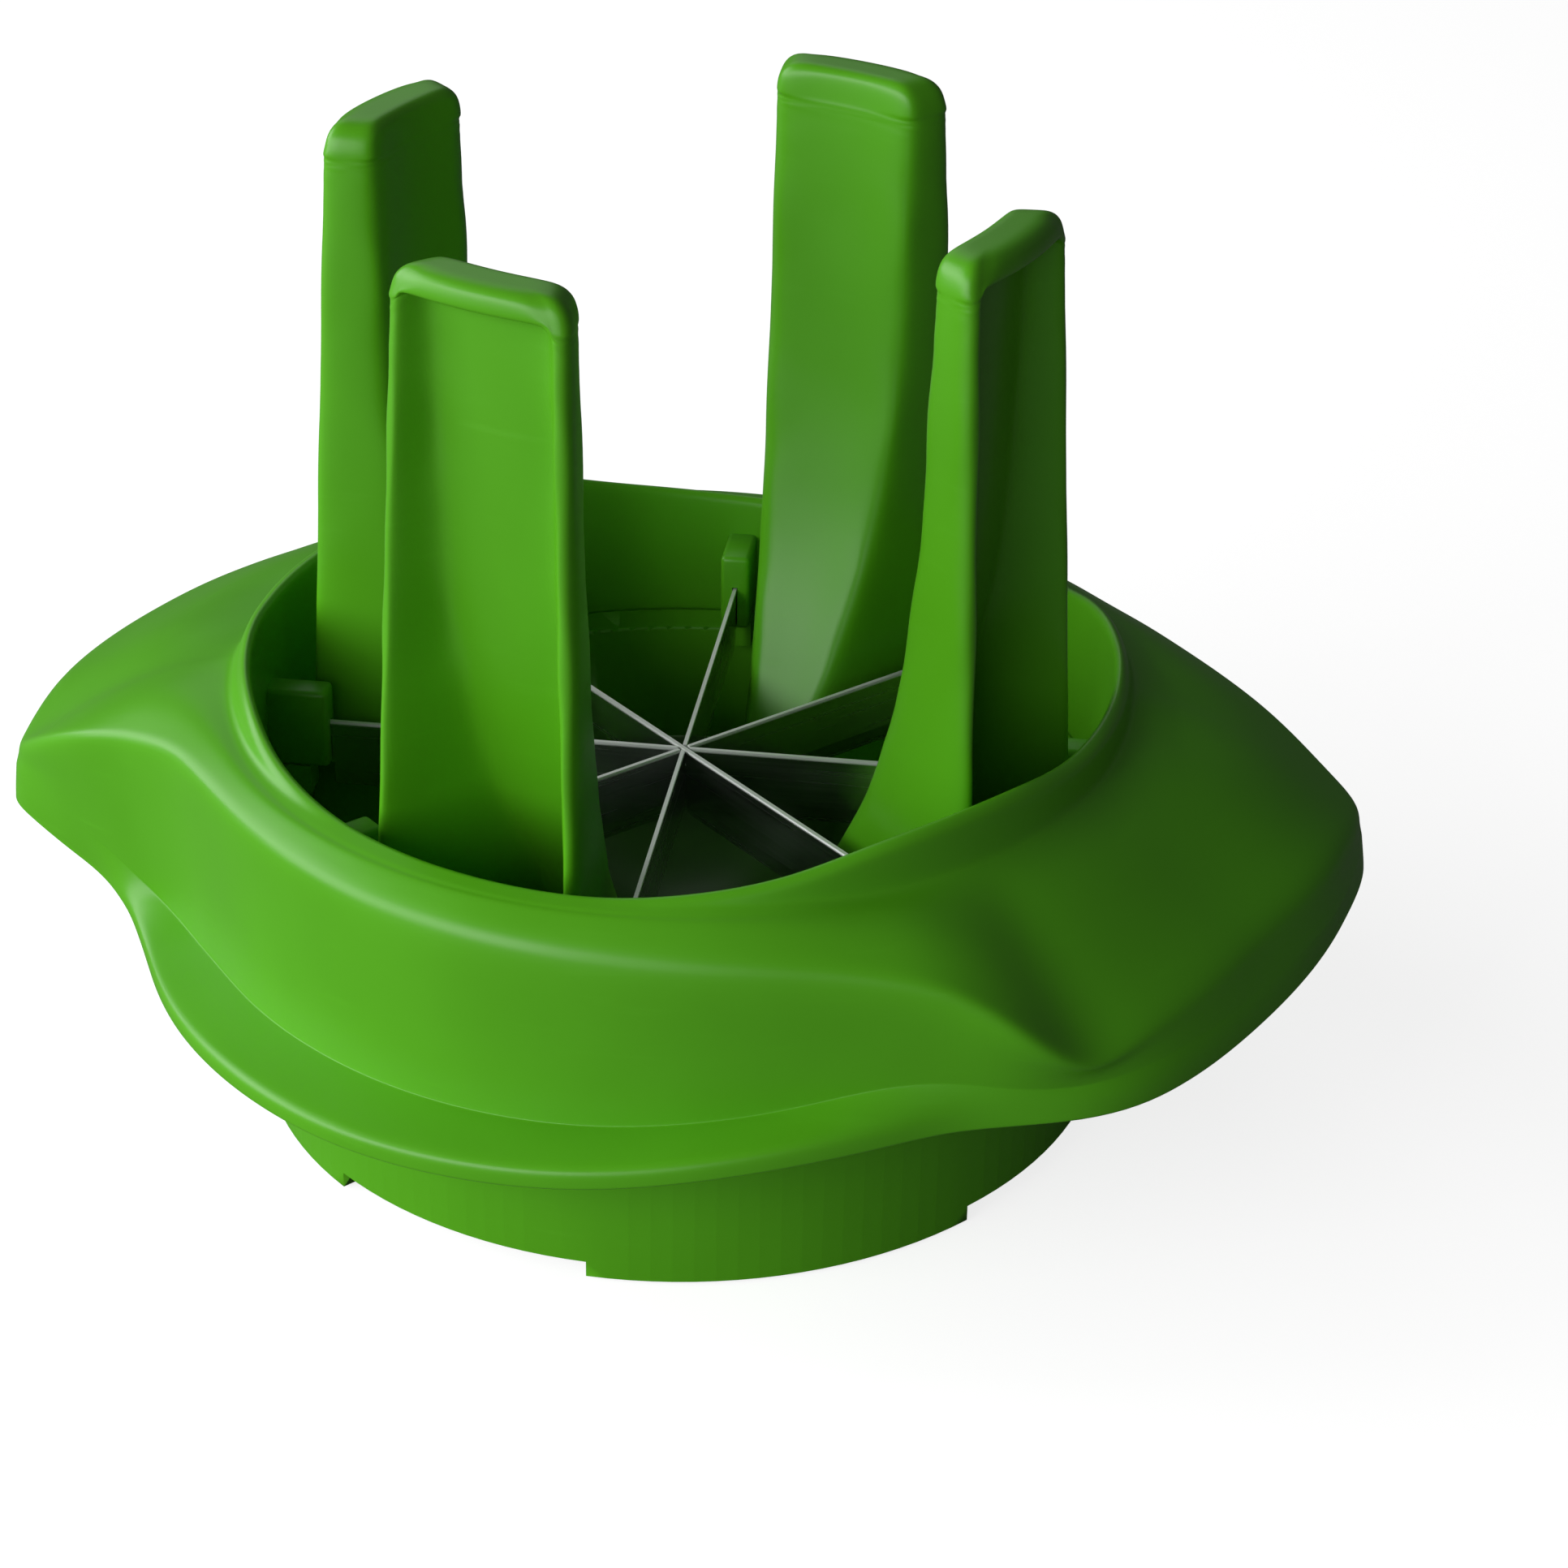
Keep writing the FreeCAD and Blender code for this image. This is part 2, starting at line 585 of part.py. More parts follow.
def fruit_pocket(name, growth):
    """The cradle's hollow, made larger all round by growth: half an ellipsoid under a cylinder."""
    radius = "%s + %s" % (POCKET_RADIUS, growth)
    dome = add("Part::Ellipsoid", name + "_dome", Radius1="[pocket_depth] + %s" % growth,
               Radius2=radius, Radius3=radius, Placement__Base__z="[pocket_level]")
    dome.Angle2 = 0
    height = "([cradle_height] - [pocket_level] + 20)"
    well = add("Part::Cone", name + "_well", Radius1=radius, Height=height,
               Radius2="%s + %s * tan([pocket_draft] * 1 deg)" % (radius, height),
               Placement__Base__z="[pocket_level]")
    return fuse(name, [dome, well])


def finger_prism(name, index, inset, bottom, top):
    """Wedge with flanks parallel to the blades beside it: the blank of a finger or of its channel."""
    plan = doc.addObject("Sketcher::SketchObject", "%s_plan_%d" % (name, index + 1))
    reach = "(%s + 4)" % FOOT_RADIUS
    sector = "(%s * 1 deg)" % (180.0 / SPOKES)
    gap = "([finger_gap] + %s + (%s - %s) * tan([finger_draft] * 1 deg))" % (inset, bottom, FLOOR)
    nose = "(([finger_nose] + %s / cos(%s)) / tan(%s))" % (gap, sector, sector)
    wide = "(%s * tan(%s) - %s / cos(%s))" % (reach, sector, gap, sector)
    polygon(plan, [(nose, "-[finger_nose]"), (reach, "-" + wide), (reach, wide), (nose, "[finger_nose]")])
    bind(plan, Placement__Base__z=bottom)
    prism = doc.addObject("Part::Extrusion", "%s_prism_%d" % (name, index + 1))
    prism.Base = plan
    prism.DirMode = "Custom"
    prism.Dir = FreeCAD.Vector(0, 0, 1)
    prism.Solid = True
    bind(prism, LengthFwd="%s - (%s)" % (top, bottom), TaperAngle="-[finger_draft]")
    return bind(prism, Placement__Rotation__Angle="([finger_turn] + %s) * 1 deg" % (QUARTER * index))


def shoulder_edges(shape):
    """Names of the two edges between the flanks and the top of a finger."""
    names = []
    for number, edge in enumerate(shape.Edges, start=1):
        flat = [face.findPlane(0.01) is not None for face in shape.ancestorsOfType(edge, Part.Face)]
        if all(flat) and edge.BoundBox.ZMin > size("cradle_height") - 0.1:
            names.append("Edge%d" % number)
    return names


def shouldered(name, blank):
    """The blank of a finger with its two top corners rounded."""
    doc.recompute()
    body = new_body(name)
    body.BaseFeature = blank
    doc.recompute()
    fillet = body.newObject("PartDesign::Fillet", name + "_shoulders")
    fillet.Base = (body.Group[0], shoulder_edges(blank.Shape))
    bind(fillet, Radius="[finger_shoulder]")
    body.Tip = fillet
    return body


def finger_cradle():
    """Four channel-shaped fingers that grow out of a bowl and stand on the tub's floor."""
    envelope = add("Part::Cone", "finger_envelope", Radius1=FOOT_RADIUS, Radius2=TOP_RADIUS,
                   Height="[cradle_height] - " + FLOOR, Placement__Base__z=FLOOR)
    scoop = fruit_pocket("pocket", "0")
    fingers = []
    channels = []
    pilots = []
    for index in range(FINGERS):
        wedge = doc.addObject("Part::MultiCommon", "finger_wedge_%d" % (index + 1))
        wedge.Shapes = [finger_prism("finger", index, "0", FLOOR, "[cradle_height]"), envelope]
        wedge.Refine = False
        blank = cut("finger_blank_%d" % (index + 1), wedge, scoop)
        fingers.append(shouldered("finger_%d" % (index + 1), blank))
        channels.append(finger_prism("channel", index, "[rib_thickness]", FLOOR + " + [foot_height]",
                                     "[cradle_height] - [finger_cap]"))
        pilot = add("Part::Cylinder", "cradle_pilot_%d" % (index + 1), Radius="[pilot_radius]",
                    Height="[foot_height]")
        pilots.append(turned(pilot, "[finger_turn] + %s" % (QUARTER * index), FOOT_SCREW_CIRCLE, FLOOR))
    web = fruit_pocket("web_back", "[web_thickness]")
    channel = cut("finger_channels", fuse("channel_prisms", channels), web)
    limit = add("Part::Cylinder", "bowl_limit", Radius=POCKET_RADIUS, Height="[bowl_rim]")
    shell = doc.addObject("Part::MultiCommon", "bowl_blank")
    shell.Shapes = [fruit_pocket("bowl_outside", "[web_thickness]"), limit]
    shell.Refine = False
    bowl = cut("bowl", shell, scoop)
    solid = fuse("cradle_solid", [cut("finger_shells", fuse("fingers", fingers), channel), bowl])
    return cut("finger_cradle", solid, fuse("cradle_pilots", pilots))


# ---------------------------------------------------------------- assembly and export

def check_and_export(pieces):
    doc.recompute()
    for feature in doc.Objects:
        if "Invalid" in feature.State or "Error" in feature.State:
            raise RuntimeError("%s failed: %s" % (feature.Name, feature.State))
    os.makedirs("parts", exist_ok=True)
    for piece in pieces:
        shape = piece.Shape
        if shape.isNull() or not shape.isValid():
            raise RuntimeError("%s has no valid shape" % piece.Label)
    for piece in pieces:
        piece.Shape.exportStep(os.path.join("parts", piece.Label + ".step"))
        print(piece.Label, len(piece.Shape.Solids), round(piece.Shape.Volume, 1), piece.Shape.BoundBox)


fill_sheet()
PIECES = [press_frame()]
for blade_index in range(SPOKES // 2):
    PIECES.append(blade(blade_index))
PIECES.append(blade_retainer())
PIECES.append(screw_set("retainer_screws", str(QUARTER / 4), SCREW_CIRCLE,
                        "[seam_height] - [retainer_height]", "[retainer_height] + [screw_bite]"))
PIECES.append(base_tub())
PIECES.append(finger_cradle())
PIECES.append(screw_set("cradle_screws", "[finger_turn]", FOOT_SCREW_CIRCLE, "[floor_bottom]",
                        "[floor_thickness] + [foot_height] - 1"))
check_and_export(PIECES)
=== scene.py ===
import json
import math

import bpy
from mathutils import Matrix, Vector

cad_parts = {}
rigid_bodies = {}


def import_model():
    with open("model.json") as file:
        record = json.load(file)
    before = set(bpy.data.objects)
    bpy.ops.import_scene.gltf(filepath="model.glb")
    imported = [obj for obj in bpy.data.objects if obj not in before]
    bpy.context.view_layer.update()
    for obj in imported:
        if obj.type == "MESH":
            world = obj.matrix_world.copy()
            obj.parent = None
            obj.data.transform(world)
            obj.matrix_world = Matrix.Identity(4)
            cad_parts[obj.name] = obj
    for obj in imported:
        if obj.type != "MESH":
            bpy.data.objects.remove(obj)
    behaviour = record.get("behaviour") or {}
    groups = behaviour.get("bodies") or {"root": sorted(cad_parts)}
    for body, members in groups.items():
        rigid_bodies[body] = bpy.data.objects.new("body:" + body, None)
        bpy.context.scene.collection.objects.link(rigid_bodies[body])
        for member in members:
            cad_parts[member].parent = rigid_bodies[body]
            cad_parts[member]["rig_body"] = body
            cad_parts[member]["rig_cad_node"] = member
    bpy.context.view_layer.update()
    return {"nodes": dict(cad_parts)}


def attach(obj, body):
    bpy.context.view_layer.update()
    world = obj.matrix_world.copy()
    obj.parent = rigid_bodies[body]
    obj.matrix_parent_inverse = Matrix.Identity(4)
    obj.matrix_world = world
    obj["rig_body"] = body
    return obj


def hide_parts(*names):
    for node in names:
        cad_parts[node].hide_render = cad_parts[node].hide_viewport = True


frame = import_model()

MM = 0.001

# Camera: a short telephoto view from in front, a little to the right and well above.
CAMERA_PLACE = (0.07640, -0.49968, 0.32817)
CAMERA_AZIMUTH = 6.95
CAMERA_ELEVATION = 29.2
CAMERA_ROLL = 1.03
LENS = 86.67
SENSOR = 36.0

# Soft boxes stand in a low arc on the left and in front: name, azimuth, elevation, watts.
LAMP_DISTANCE = 1.25
LAMP_SIZE = 0.7
SOFT_BOXES = (
    ("left", 170.0, 25.0, 6.6),
    ("key", 200.0, 15.0, 6.8),
    ("front_left", 232.0, 19.0, 7.0),
    ("front", 260.0, 15.0, 2.6),
    ("rear_left", 110.0, 35.0, 0.9),
)
LAMP_TARGET = (0.0, 0.0, 0.06)
WORLD_LIGHT = 0.07
FLOOR_SIZE = 4.0
FLOOR_DROP = 0.0005                     # keeps the floor clear of the tub's feet
FLOOR_SEEN = 0.5                        # what the camera sees of the floor: its colour and its own glow
FLOOR_GLOW = 0.8
FLOOR_BOUNCE = 0.22                     # what the floor gives back to the object
FLOOR_ROUGHNESS = 0.8

FRAME_COLOUR = (0.088, 0.385, 0.008)
BASE_COLOUR = (0.086, 0.38, 0.007)
# Painted shade: the bowl's green is darkened to stand for the deep shadow under the blades.
BOWL_SHADE_COLOUR = (0.022, 0.10, 0.004)
BLADE_COLOUR = (0.58, 0.6, 0.59)
SCREW_COLOUR = (0.6, 0.6, 0.6)
PLASTIC_ROUGHNESS = 0.36
BOWL_ROUGHNESS = 0.45
PLASTIC_SPECULAR = 0.36
COAT_ROUGHNESS = 0.3
STEEL_ROUGHNESS = 0.24
NO_EDGE = 1.0                           # an edge height above every piece, for steel without a cutting edge

# Sizes of the frame, in millimetres above the table and from the axis.
THROAT_RADIUS = 64.4
WALL = 2.8
THROAT_OUTER = THROAT_RADIUS + WALL
SEAM = 43.1
BLADE_TOP = 51.9
# Depth of a blade's edge band: its rougher, rolled finish, with a painted highlight on it.
EDGE_BAND = 0.36                        # depth of a blade's bright edge
DECK_FOOT = 11.0                        # height of the deck's inner border above the blades
FOOT_REACH = 0.8                        # spread of the lip at its foot
FOOT_SUPPORT = 1.2                      # cage distance beyond the foot of the lip
FOOT_LIFT = 0.55                        # share of its rise that a leaning lip gives to the deck
EASE = 1.0                              # radius of the lip's edges
EDGE_EASE = 1.5                         # radius of the skirt's edge
SKIRT_REACH = 15.9                      # reach of the ledge beyond the throat wall
CORNER = 0.3                            # cage distance either side of the inner corner of the ledge
SEAM_CUT = 0.4                          # cage distance above the seam
EDGE_TURN = 0.9                         # height of the skirt's edge on its hidden side
POSTS = 8
POST_INNER = 55.0
POST_BITE = 0.8                         # how deep a post stands in the throat wall
POST_EDGE = 0.8                         # rounding of a post
POST_WIDTH = 4.8
POST_TOP = 57.6
POST_BOTTOM = 44.7
SLOT_WIDTH = 0.9
SLOT_TOP = 52.2
SLOT_REACH = 62.0
SLOT_OVERRUN = 2.0                      # how far the slot's cutter stands out of the post
BOSSES = 4
FIRST_BOSS = 22.5
BOSS_CIRCLE = THROAT_OUTER + 2.35
BOSS_RADIUS = 3.0

# Sizes of the finger cradle; a finger stands midway between two blades, its flanks parallel to them.
FINGERS = 4
FIRST_FINGER = 67.5
SECTOR = math.radians(22.5)             # from the middle of a finger to the blade beside it
CRADLE_FLOOR = 8.6
CRADLE_TOP = 145.4
FOOT_RADIUS = 62.1
FINGER_LEAN = 7.5
FINGER_GAP = 4.6
FINGER_DRAFT = math.radians(0.84)
FINGER_NOSE = 4.5
FINGER_CAP = 3.9
POCKET_RADIUS = 45.9
POCKET_DEPTH = 88.0
POCKET_LEVEL = 112.4
POCKET_DRAFT = math.radians(1.4)
WEB = 3.3
RIB = 3.0
CHANNEL_FLOOR = CRADLE_FLOOR + 6.0
CHANNEL_ROOF = CRADLE_TOP - FINGER_CAP
BOWL_RIM = 40.0
BOWL_EDGE = 0.8                         # rounding of the bowl's rim
EDGE_CUT = 1.1                          # cage distance from a rounded long edge of a finger
RIM_CUT = 0.5                           # the same at the rim of a channel
HOLLOW_CUT = 0.9                        # the same in the inner corners of a channel
SHOULDER = 3.7                          # radius of a finger's two top corners
TOP_EDGE = 1.5                          # radius of the edges round its top

# Rows of a finger's cage below its top: height of the shell, height of the channel, and how far the channel
# is closed there.
FINGER_LEVELS = (
    (CRADLE_FLOOR, CRADLE_FLOOR, 1.0), (13.0, CHANNEL_FLOOR - 0.6, 1.0), (15.0, CHANNEL_FLOOR, 0.0),
    *((z, z, 0.0) for z in (20.0, 28.0, 36.0, 44.0, 52.0, 60.0, 68.0, 77.0, 87.0, 97.0, 107.0, 117.0, 127.0,
                            134.0)),
    (138.0, CHANNEL_ROOF - 3.5, 0.0), (138.9, CHANNEL_ROOF - 0.5 * HOLLOW_CUT, 0.0),
    (139.6, CHANNEL_ROOF, 0.25), (140.3, CHANNEL_ROOF, 0.85), (140.9, CHANNEL_ROOF + RIM_CUT, 1.0),
)

# Sections of the wing round the ring: azimuth; flare and height of the edge; reach and height of the ledge's
# inner corner; reach, height and softness of the crest; rise of the lip; depth of the edge band; and how
# upright the outside of the lip stands. Reaches are beyond the throat wall, heights above the blades.
SECTIONS = (
    (3.4, 21.3, -14.5, 36.4, -8.5, 35.2, -4.0, 2.2, 7.0, 0.9, 0.4),
    (7.0, 12.9, -17.5, 29.0, -10.5, 30.0, -0.3, 2.2, 6.9, 0.9, 0.4),
    (11.5, 4.9, -21.5, 19.8, -14.5, 22.8, 4.6, 2.2, 6.6, 1.3, 0.4),
    (17.0, 1.4, -24.5, 13.0, -20.2, 15.2, 8.3, 2.2, 6.4, 1.9, 0.4),
    (24.0, 0.1, -26.5, 8.6, -22.3, 9.8, 9.9, 2.2, 5.5, 2.3, 0.4),
    (35.0, 0.0, -27.5, 6.4, -22.4, 7.0, 9.3, 2.2, 3.0, 2.7, 0.5),
    (57.0, 0.0, -27.4, 5.6, -22.0, 5.8, 8.6, 2.6, 1.0, 3.2, 0.0),
    (84.0, 0.0, -25.3, 6.0, -20.8, 6.0, 8.1, 3.2, 0.7, 3.4, 0.0),
    (108.0, 0.0, -21.0, 8.0, -16.8, 8.6, 7.2, 3.4, 3.3, 3.4, 0.6),
    (124.0, 0.5, -19.2, 15.0, -13.0, 16.5, 4.6, 3.2, 7.3, 3.2, 1.0),
    (138.0, 10.3, -18.7, 27.3, -13.0, 28.0, -0.5, 4.0, 8.3, 2.8, 1.0),
    (158.0, 13.7, -18.2, 31.0, -12.0, 30.2, 0.8, 6.0, 6.6, 2.6, 1.0),
    (174.0, 18.5, -16.3, 35.6, -11.0, 34.0, -0.5, 5.0, 6.6, 1.8, 0.7),
    (183.4, 21.7, -14.5, 37.0, -8.5, 35.6, -4.0, 2.2, 7.0, 0.9, 0.3),
    (187.0, 14.7, -17.5, 31.0, -10.5, 31.8, -0.3, 2.2, 6.9, 0.9, 0.2),
    (191.5, 5.5, -21.5, 21.9, -14.5, 25.0, 4.6, 2.2, 6.6, 1.3, 0.2),
    (197.0, 1.4, -24.5, 13.0, -20.2, 16.0, 8.3, 2.2, 6.4, 1.9, 0.25),
    (204.0, 0.1, -26.5, 8.6, -22.3, 9.8, 9.9, 2.2, 5.5, 2.3, 0.35),
    (215.0, 0.0, -27.5, 6.4, -22.4, 7.0, 9.3, 2.2, 3.0, 2.7, 0.4),
    (237.0, 0.0, -27.4, 5.6, -22.0, 5.8, 8.6, 2.6, 1.0, 3.2, 0.0),
    (264.0, 0.0, -25.3, 6.0, -20.8, 6.0, 8.1, 3.2, 0.7, 3.4, 0.0),
    (288.0, 0.0, -21.0, 8.0, -16.8, 8.6, 7.2, 3.0, 3.3, 3.4, 0.6),
    (304.0, 0.8, -19.2, 14.6, -11.5, 16.5, 4.6, 2.6, 7.3, 3.2, 1.0),
    (310.0, 4.2, -19.0, 19.6, -13.0, 23.3, -1.8, 2.6, 7.9, 3.0, 1.0),
    (315.0, 8.4, -18.8, 23.2, -13.8, 25.0, -10.0, 3.0, 8.2, 2.9, 1.0),
    (320.0, 11.4, -18.7, 26.0, -13.2, 25.0, -8.0, 6.0, 8.2, 2.8, 1.0),
    (338.0, 13.9, -18.2, 28.8, -12.6, 26.6, -4.6, 7.0, 6.6, 2.6, 1.0),
    (354.0, 18.5, -16.3, 34.4, -11.0, 32.8, -2.6, 5.0, 6.6, 1.8, 0.7),
)
COLUMNS = 96                            # cage columns round the ring
CROWDING = 18.9                         # degrees by which they crowd where the section changes fast
FIRST_COLUMN = 4.5

FULL_TURN = 360.0
COPY_CREASE = math.radians(35)          # edges sharper than this stay sharp: on copies, then on new pieces
CREASE = math.radians(40)
WELD = 0.01 * MM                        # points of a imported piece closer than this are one


# ---------------------------------------------------------------- small helpers

def deselect():
    """Leave edit mode and select nothing."""
    if bpy.context.object and bpy.context.object.mode != "OBJECT":
        bpy.ops.object.mode_set(mode="OBJECT")
    bpy.ops.object.select_all(action="DESELECT")


def activate(piece):
    """Make a piece the only one selected, and the active one."""
    deselect()
    piece.select_set(True)
    bpy.context.view_layer.objects.active = piece


def apply_modifiers(piece):
    """Apply a piece's modifiers in their order."""
    activate(piece)
    for modifier in list(piece.modifiers):
        bpy.ops.object.modifier_apply(modifier=modifier.name)


def finish_piece(piece, name, body, material):
    """Name a finished piece and hand it to its body with its finish."""
    piece.name = name
    piece.data.name = name
    piece.data.materials.clear()
    piece.data.materials.append(material)
    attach(piece, body)
    return piece


def round_cage(piece):
    """Turn a cage's faces outward and round it by subdivision."""
    piece.data.update()
    activate(piece)
    bpy.ops.object.mode_set(mode="EDIT")
    bpy.ops.mesh.select_all(action="SELECT")
    bpy.ops.mesh.normals_make_consistent(inside=False)
    bpy.ops.object.mode_set(mode="OBJECT")
    rounds = piece.modifiers.new("rounds", "SUBSURF")
    rounds.levels = 2
    apply_modifiers(piece)
    bpy.ops.object.shade_smooth()


def turned_copies(piece, count, first=0.0):
    """Copies of a piece, evenly spaced about the vertical axis, each with its own mesh; they replace it."""
    copies = []
    for k in range(count):
        copy = piece.copy()
        copy.data = piece.data.copy()
        copy.data.transform(Matrix.Rotation(math.radians(first + FULL_TURN / count * k), 4, "Z"))
        bpy.context.scene.collection.objects.link(copy)
        copies.append(copy)
    bpy.data.objects.remove(piece)
    return copies


def smooth_copy(node):
    """Welded, smooth-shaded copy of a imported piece, which it replaces."""
    source = frame["nodes"][node]
    piece = source.copy()
    piece.data = source.data.copy()
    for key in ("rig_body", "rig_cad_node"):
        if key in piece:
            del piece[key]
    bpy.context.scene.collection.objects.link(piece)
    piece.parent = None
    piece.matrix_world = Matrix.Identity(4)
    activate(piece)
    bpy.ops.object.mode_set(mode="EDIT")
    bpy.ops.mesh.select_all(action="SELECT")
    bpy.ops.mesh.remove_doubles(threshold=WELD)
    bpy.ops.object.mode_set(mode="OBJECT")
    bpy.ops.object.shade_smooth_by_angle(angle=COPY_CREASE)
    weighted = piece.modifiers.new("weighted", "WEIGHTED_NORMAL")
    weighted.keep_sharp = True
    apply_modifiers(piece)
    return piece


# ---------------------------------------------------------------- the winged frame

def smooth(angles, values, angle):
    """Monotone cubic through values that repeat every turn."""
    count = len(angles)
    angle = angles[0] + (angle - angles[0]) % FULL_TURN

    def at(i):
        return angles[i % count] + FULL_TURN * (i // count), values[i % count]

    def slope(i):
        (a0, v0), (a1, v1), (a2, v2) = at(i - 1), at(i), at(i + 1)
        before = (v1 - v0) / (a1 - a0)
        after = (v2 - v1) / (a2 - a1)
        if before * after <= 0:
            return 0.0
        weight_before = 2 * (a2 - a1) + (a1 - a0)
        weight_after = (a2 - a1) + 2 * (a1 - a0)
        return (weight_before + weight_after) / (weight_before / before + weight_after / after)

    i = max(k for k in range(count) if angles[k] <= angle)
    (a0, v0), (a1, v1) = at(i), at(i + 1)
    span = a1 - a0
    u = (angle - a0) / span
    return ((1 + 2 * u) * (1 - u) ** 2 * v0 + u * (1 - u) ** 2 * span * slope(i)
            + u * u * (3 - 2 * u) * v1 + u * u * (u - 1) * span * slope(i + 1))


def between(start, end, share):
    """Point at a share of the way from one point to another."""
    return start[0] + (end[0] - start[0]) * share, start[1] + (end[1] - start[1]) * share


def lip_points(lip_z, foot, side, upright):
    """Crown of the throat wall and its outer side, which leans over to its foot where it isn't upright."""
    ease = min(EASE, side)
    crown = (THROAT_RADIUS + 0.45 * WALL, lip_z + 0.15)
    standing = (
        (THROAT_OUTER - 0.1, lip_z - 0.6 * ease),
        (THROAT_OUTER, lip_z - ease - 0.2 * side),
        (THROAT_OUTER + 0.1 * FOOT_REACH, foot[1] + 0.12 * side),
    )
    leaning = [between(crown, foot, share) for share in (0.25, 0.5, 0.75)]
    return [crown] + [between(flush, stand, upright) for flush, stand in zip(leaning, standing)]


def deck_points(foot, crest, soft):
    """Bulging deck from the foot of the lip to the crest."""
    run = crest[0] - foot[0]
    fall = crest[1] - foot[1]
    shoulder = crest[0] - soft
    middle = min(0.45, 0.5 * (shoulder - foot[0]) / run)
    support = min(FOOT_SUPPORT, 0.5 * middle * run)
    chord = foot[1] + (shoulder - foot[0]) / run * fall
    return [
        foot,
        (foot[0] + support, foot[1] + (fall / run + 0.1) * support),
        (foot[0] + middle * run, foot[1] + middle * fall + (0.05 + 0.12 * middle) * run),
        (shoulder, max(crest[1] + 0.35 * soft, chord + 0.3)),
        crest,
    ]


def wall_points(crest, inner, outer, soft, ease):
    """Wall below the crest and ledge out to the edge, with a crisp inner corner between them."""
    height = math.dist(crest, inner)
    ledge = math.dist(inner, outer)
    return [
        (crest[0] + 0.25 * min(soft, 3.4), crest[1] - min(soft, 0.3 * height)),
        between(crest, inner, 0.55),
        between(inner, crest, min(0.3, CORNER / height)),
        inner,
        between(inner, outer, min(0.3, CORNER / ledge)),
        between(outer, inner, min(0.5, 1.5 * ease / ledge)),
    ]


def edge_points(outer, band, ease):
    """Rounded edge of the ledge and the band below it."""
    edge_r, top = outer
    bottom = top - band
    return [
        (edge_r - 0.12 * ease, top - 0.08),
        (edge_r, top - 1.2 * ease),
        (edge_r, bottom + 0.3 * min(band, 2.0)),
        (edge_r, bottom),
    ]


def wing_section(azimuth):
    """Cage points (radius, height) of the outer side: throat wall, lip, deck, crest, wall and skirt edge."""
    angles = [row[0] for row in SECTIONS]
    flare, edge_z, inner_r, inner_z, crest_r, crest_z, soft, rise, band, upright = [
        smooth(angles, [row[k] for row in SECTIONS], azimuth) for k in range(1, len(SECTIONS[0]))]
    deck_z = BLADE_TOP + DECK_FOOT
    lip_z = deck_z + rise
    lift = FOOT_LIFT * rise * (1.0 - upright)
    foot = (THROAT_OUTER + FOOT_REACH, deck_z + lift)
    crest = (THROAT_OUTER + crest_r, BLADE_TOP + crest_z)
    inner = (THROAT_OUTER + inner_r, BLADE_TOP + inner_z)
    outer = (THROAT_OUTER + SKIRT_REACH + flare, BLADE_TOP + edge_z + band)
    ease = min(EDGE_EASE, 0.5 * band)
    return [
        (THROAT_RADIUS, SEAM),
        (THROAT_RADIUS, SEAM + SEAM_CUT),
        (THROAT_RADIUS, lip_z - 1.5 * EASE),
        (THROAT_RADIUS + 0.12 * WALL, lip_z - 0.35 * EASE),
        *lip_points(lip_z, foot, 0.6 * (rise - lift), upright),
        *deck_points(foot, crest, soft),
        *wall_points(crest, inner, outer, soft, ease),
        *edge_points(outer, band, ease),
    ]


EDGE_ROW = 22                           # last row of the outer side, at the bottom of the skirt
UNDER_ROWS = (16, 14, 12, 10)           # rows of the outer side that the underside follows


def ring_point(radius, azimuth, height):
    """Point at a radius and an azimuth about the vertical axis."""
    angle = math.radians(azimuth)
    return Vector((radius * math.cos(angle), radius * math.sin(angle), height))


def wing_cage():
    """Rows of cage points round the ring, closed from the throat wall over the skirt and back."""
    turn = 2 * math.pi / COLUMNS
    azimuths = [FULL_TURN * k / COLUMNS - CROWDING * math.sin(2 * turn * k) + FIRST_COLUMN
                for k in range(COLUMNS)]
    columns = []
    for k, azimuth in enumerate(azimuths):
        before = math.radians(azimuth - azimuths[k - 1])
        after = math.radians(azimuths[(k + 1) % COLUMNS] - azimuth)
        factor = 6.0 / (4.0 + math.cos(before) + math.cos(after))
        columns.append([ring_point(r * factor, azimuth, z) for r, z in wing_section(azimuth)])

    def inward(k, row):
        along = columns[(k + 1) % COLUMNS][row] - columns[k - 1][row]
        across = columns[k][min(row + 1, EDGE_ROW)] - columns[k][row - 1]
        return along.cross(across).normalized()

    for k, azimuth in enumerate(azimuths):
        side = inward(k, EDGE_ROW)
        side.z = 0.0
        bottom = columns[k][EDGE_ROW] + side.normalized() * WALL
        hidden = [bottom, bottom + Vector((0.0, 0.0, EDGE_TURN))]
        hidden += [columns[k][row] + inward(k, row) * WALL for row in UNDER_ROWS]
        hidden.append(ring_point(THROAT_OUTER, azimuth, BLADE_TOP + DECK_FOOT - WALL))
        hidden.append(ring_point(THROAT_OUTER, azimuth, SEAM + SEAM_CUT))
        hidden.append(ring_point(THROAT_OUTER, azimuth, SEAM))
        columns[k] = columns[k] + hidden
    return columns


def wing_ring():
    """The moulded ring: a torus whose rows are moved on to the wing's sections, then subdivided."""
    columns = wing_cage()
    rows = len(columns[0])
    deselect()
    bpy.ops.mesh.primitive_torus_add(major_segments=COLUMNS, minor_segments=rows,
                                     major_radius=THROAT_OUTER * MM, minor_radius=WALL * MM)
    ring = bpy.context.object
    for k in range(COLUMNS):
        for row in range(rows):
            ring.data.vertices[k * rows + row].co = columns[k][row] * MM
    round_cage(ring)
    return ring


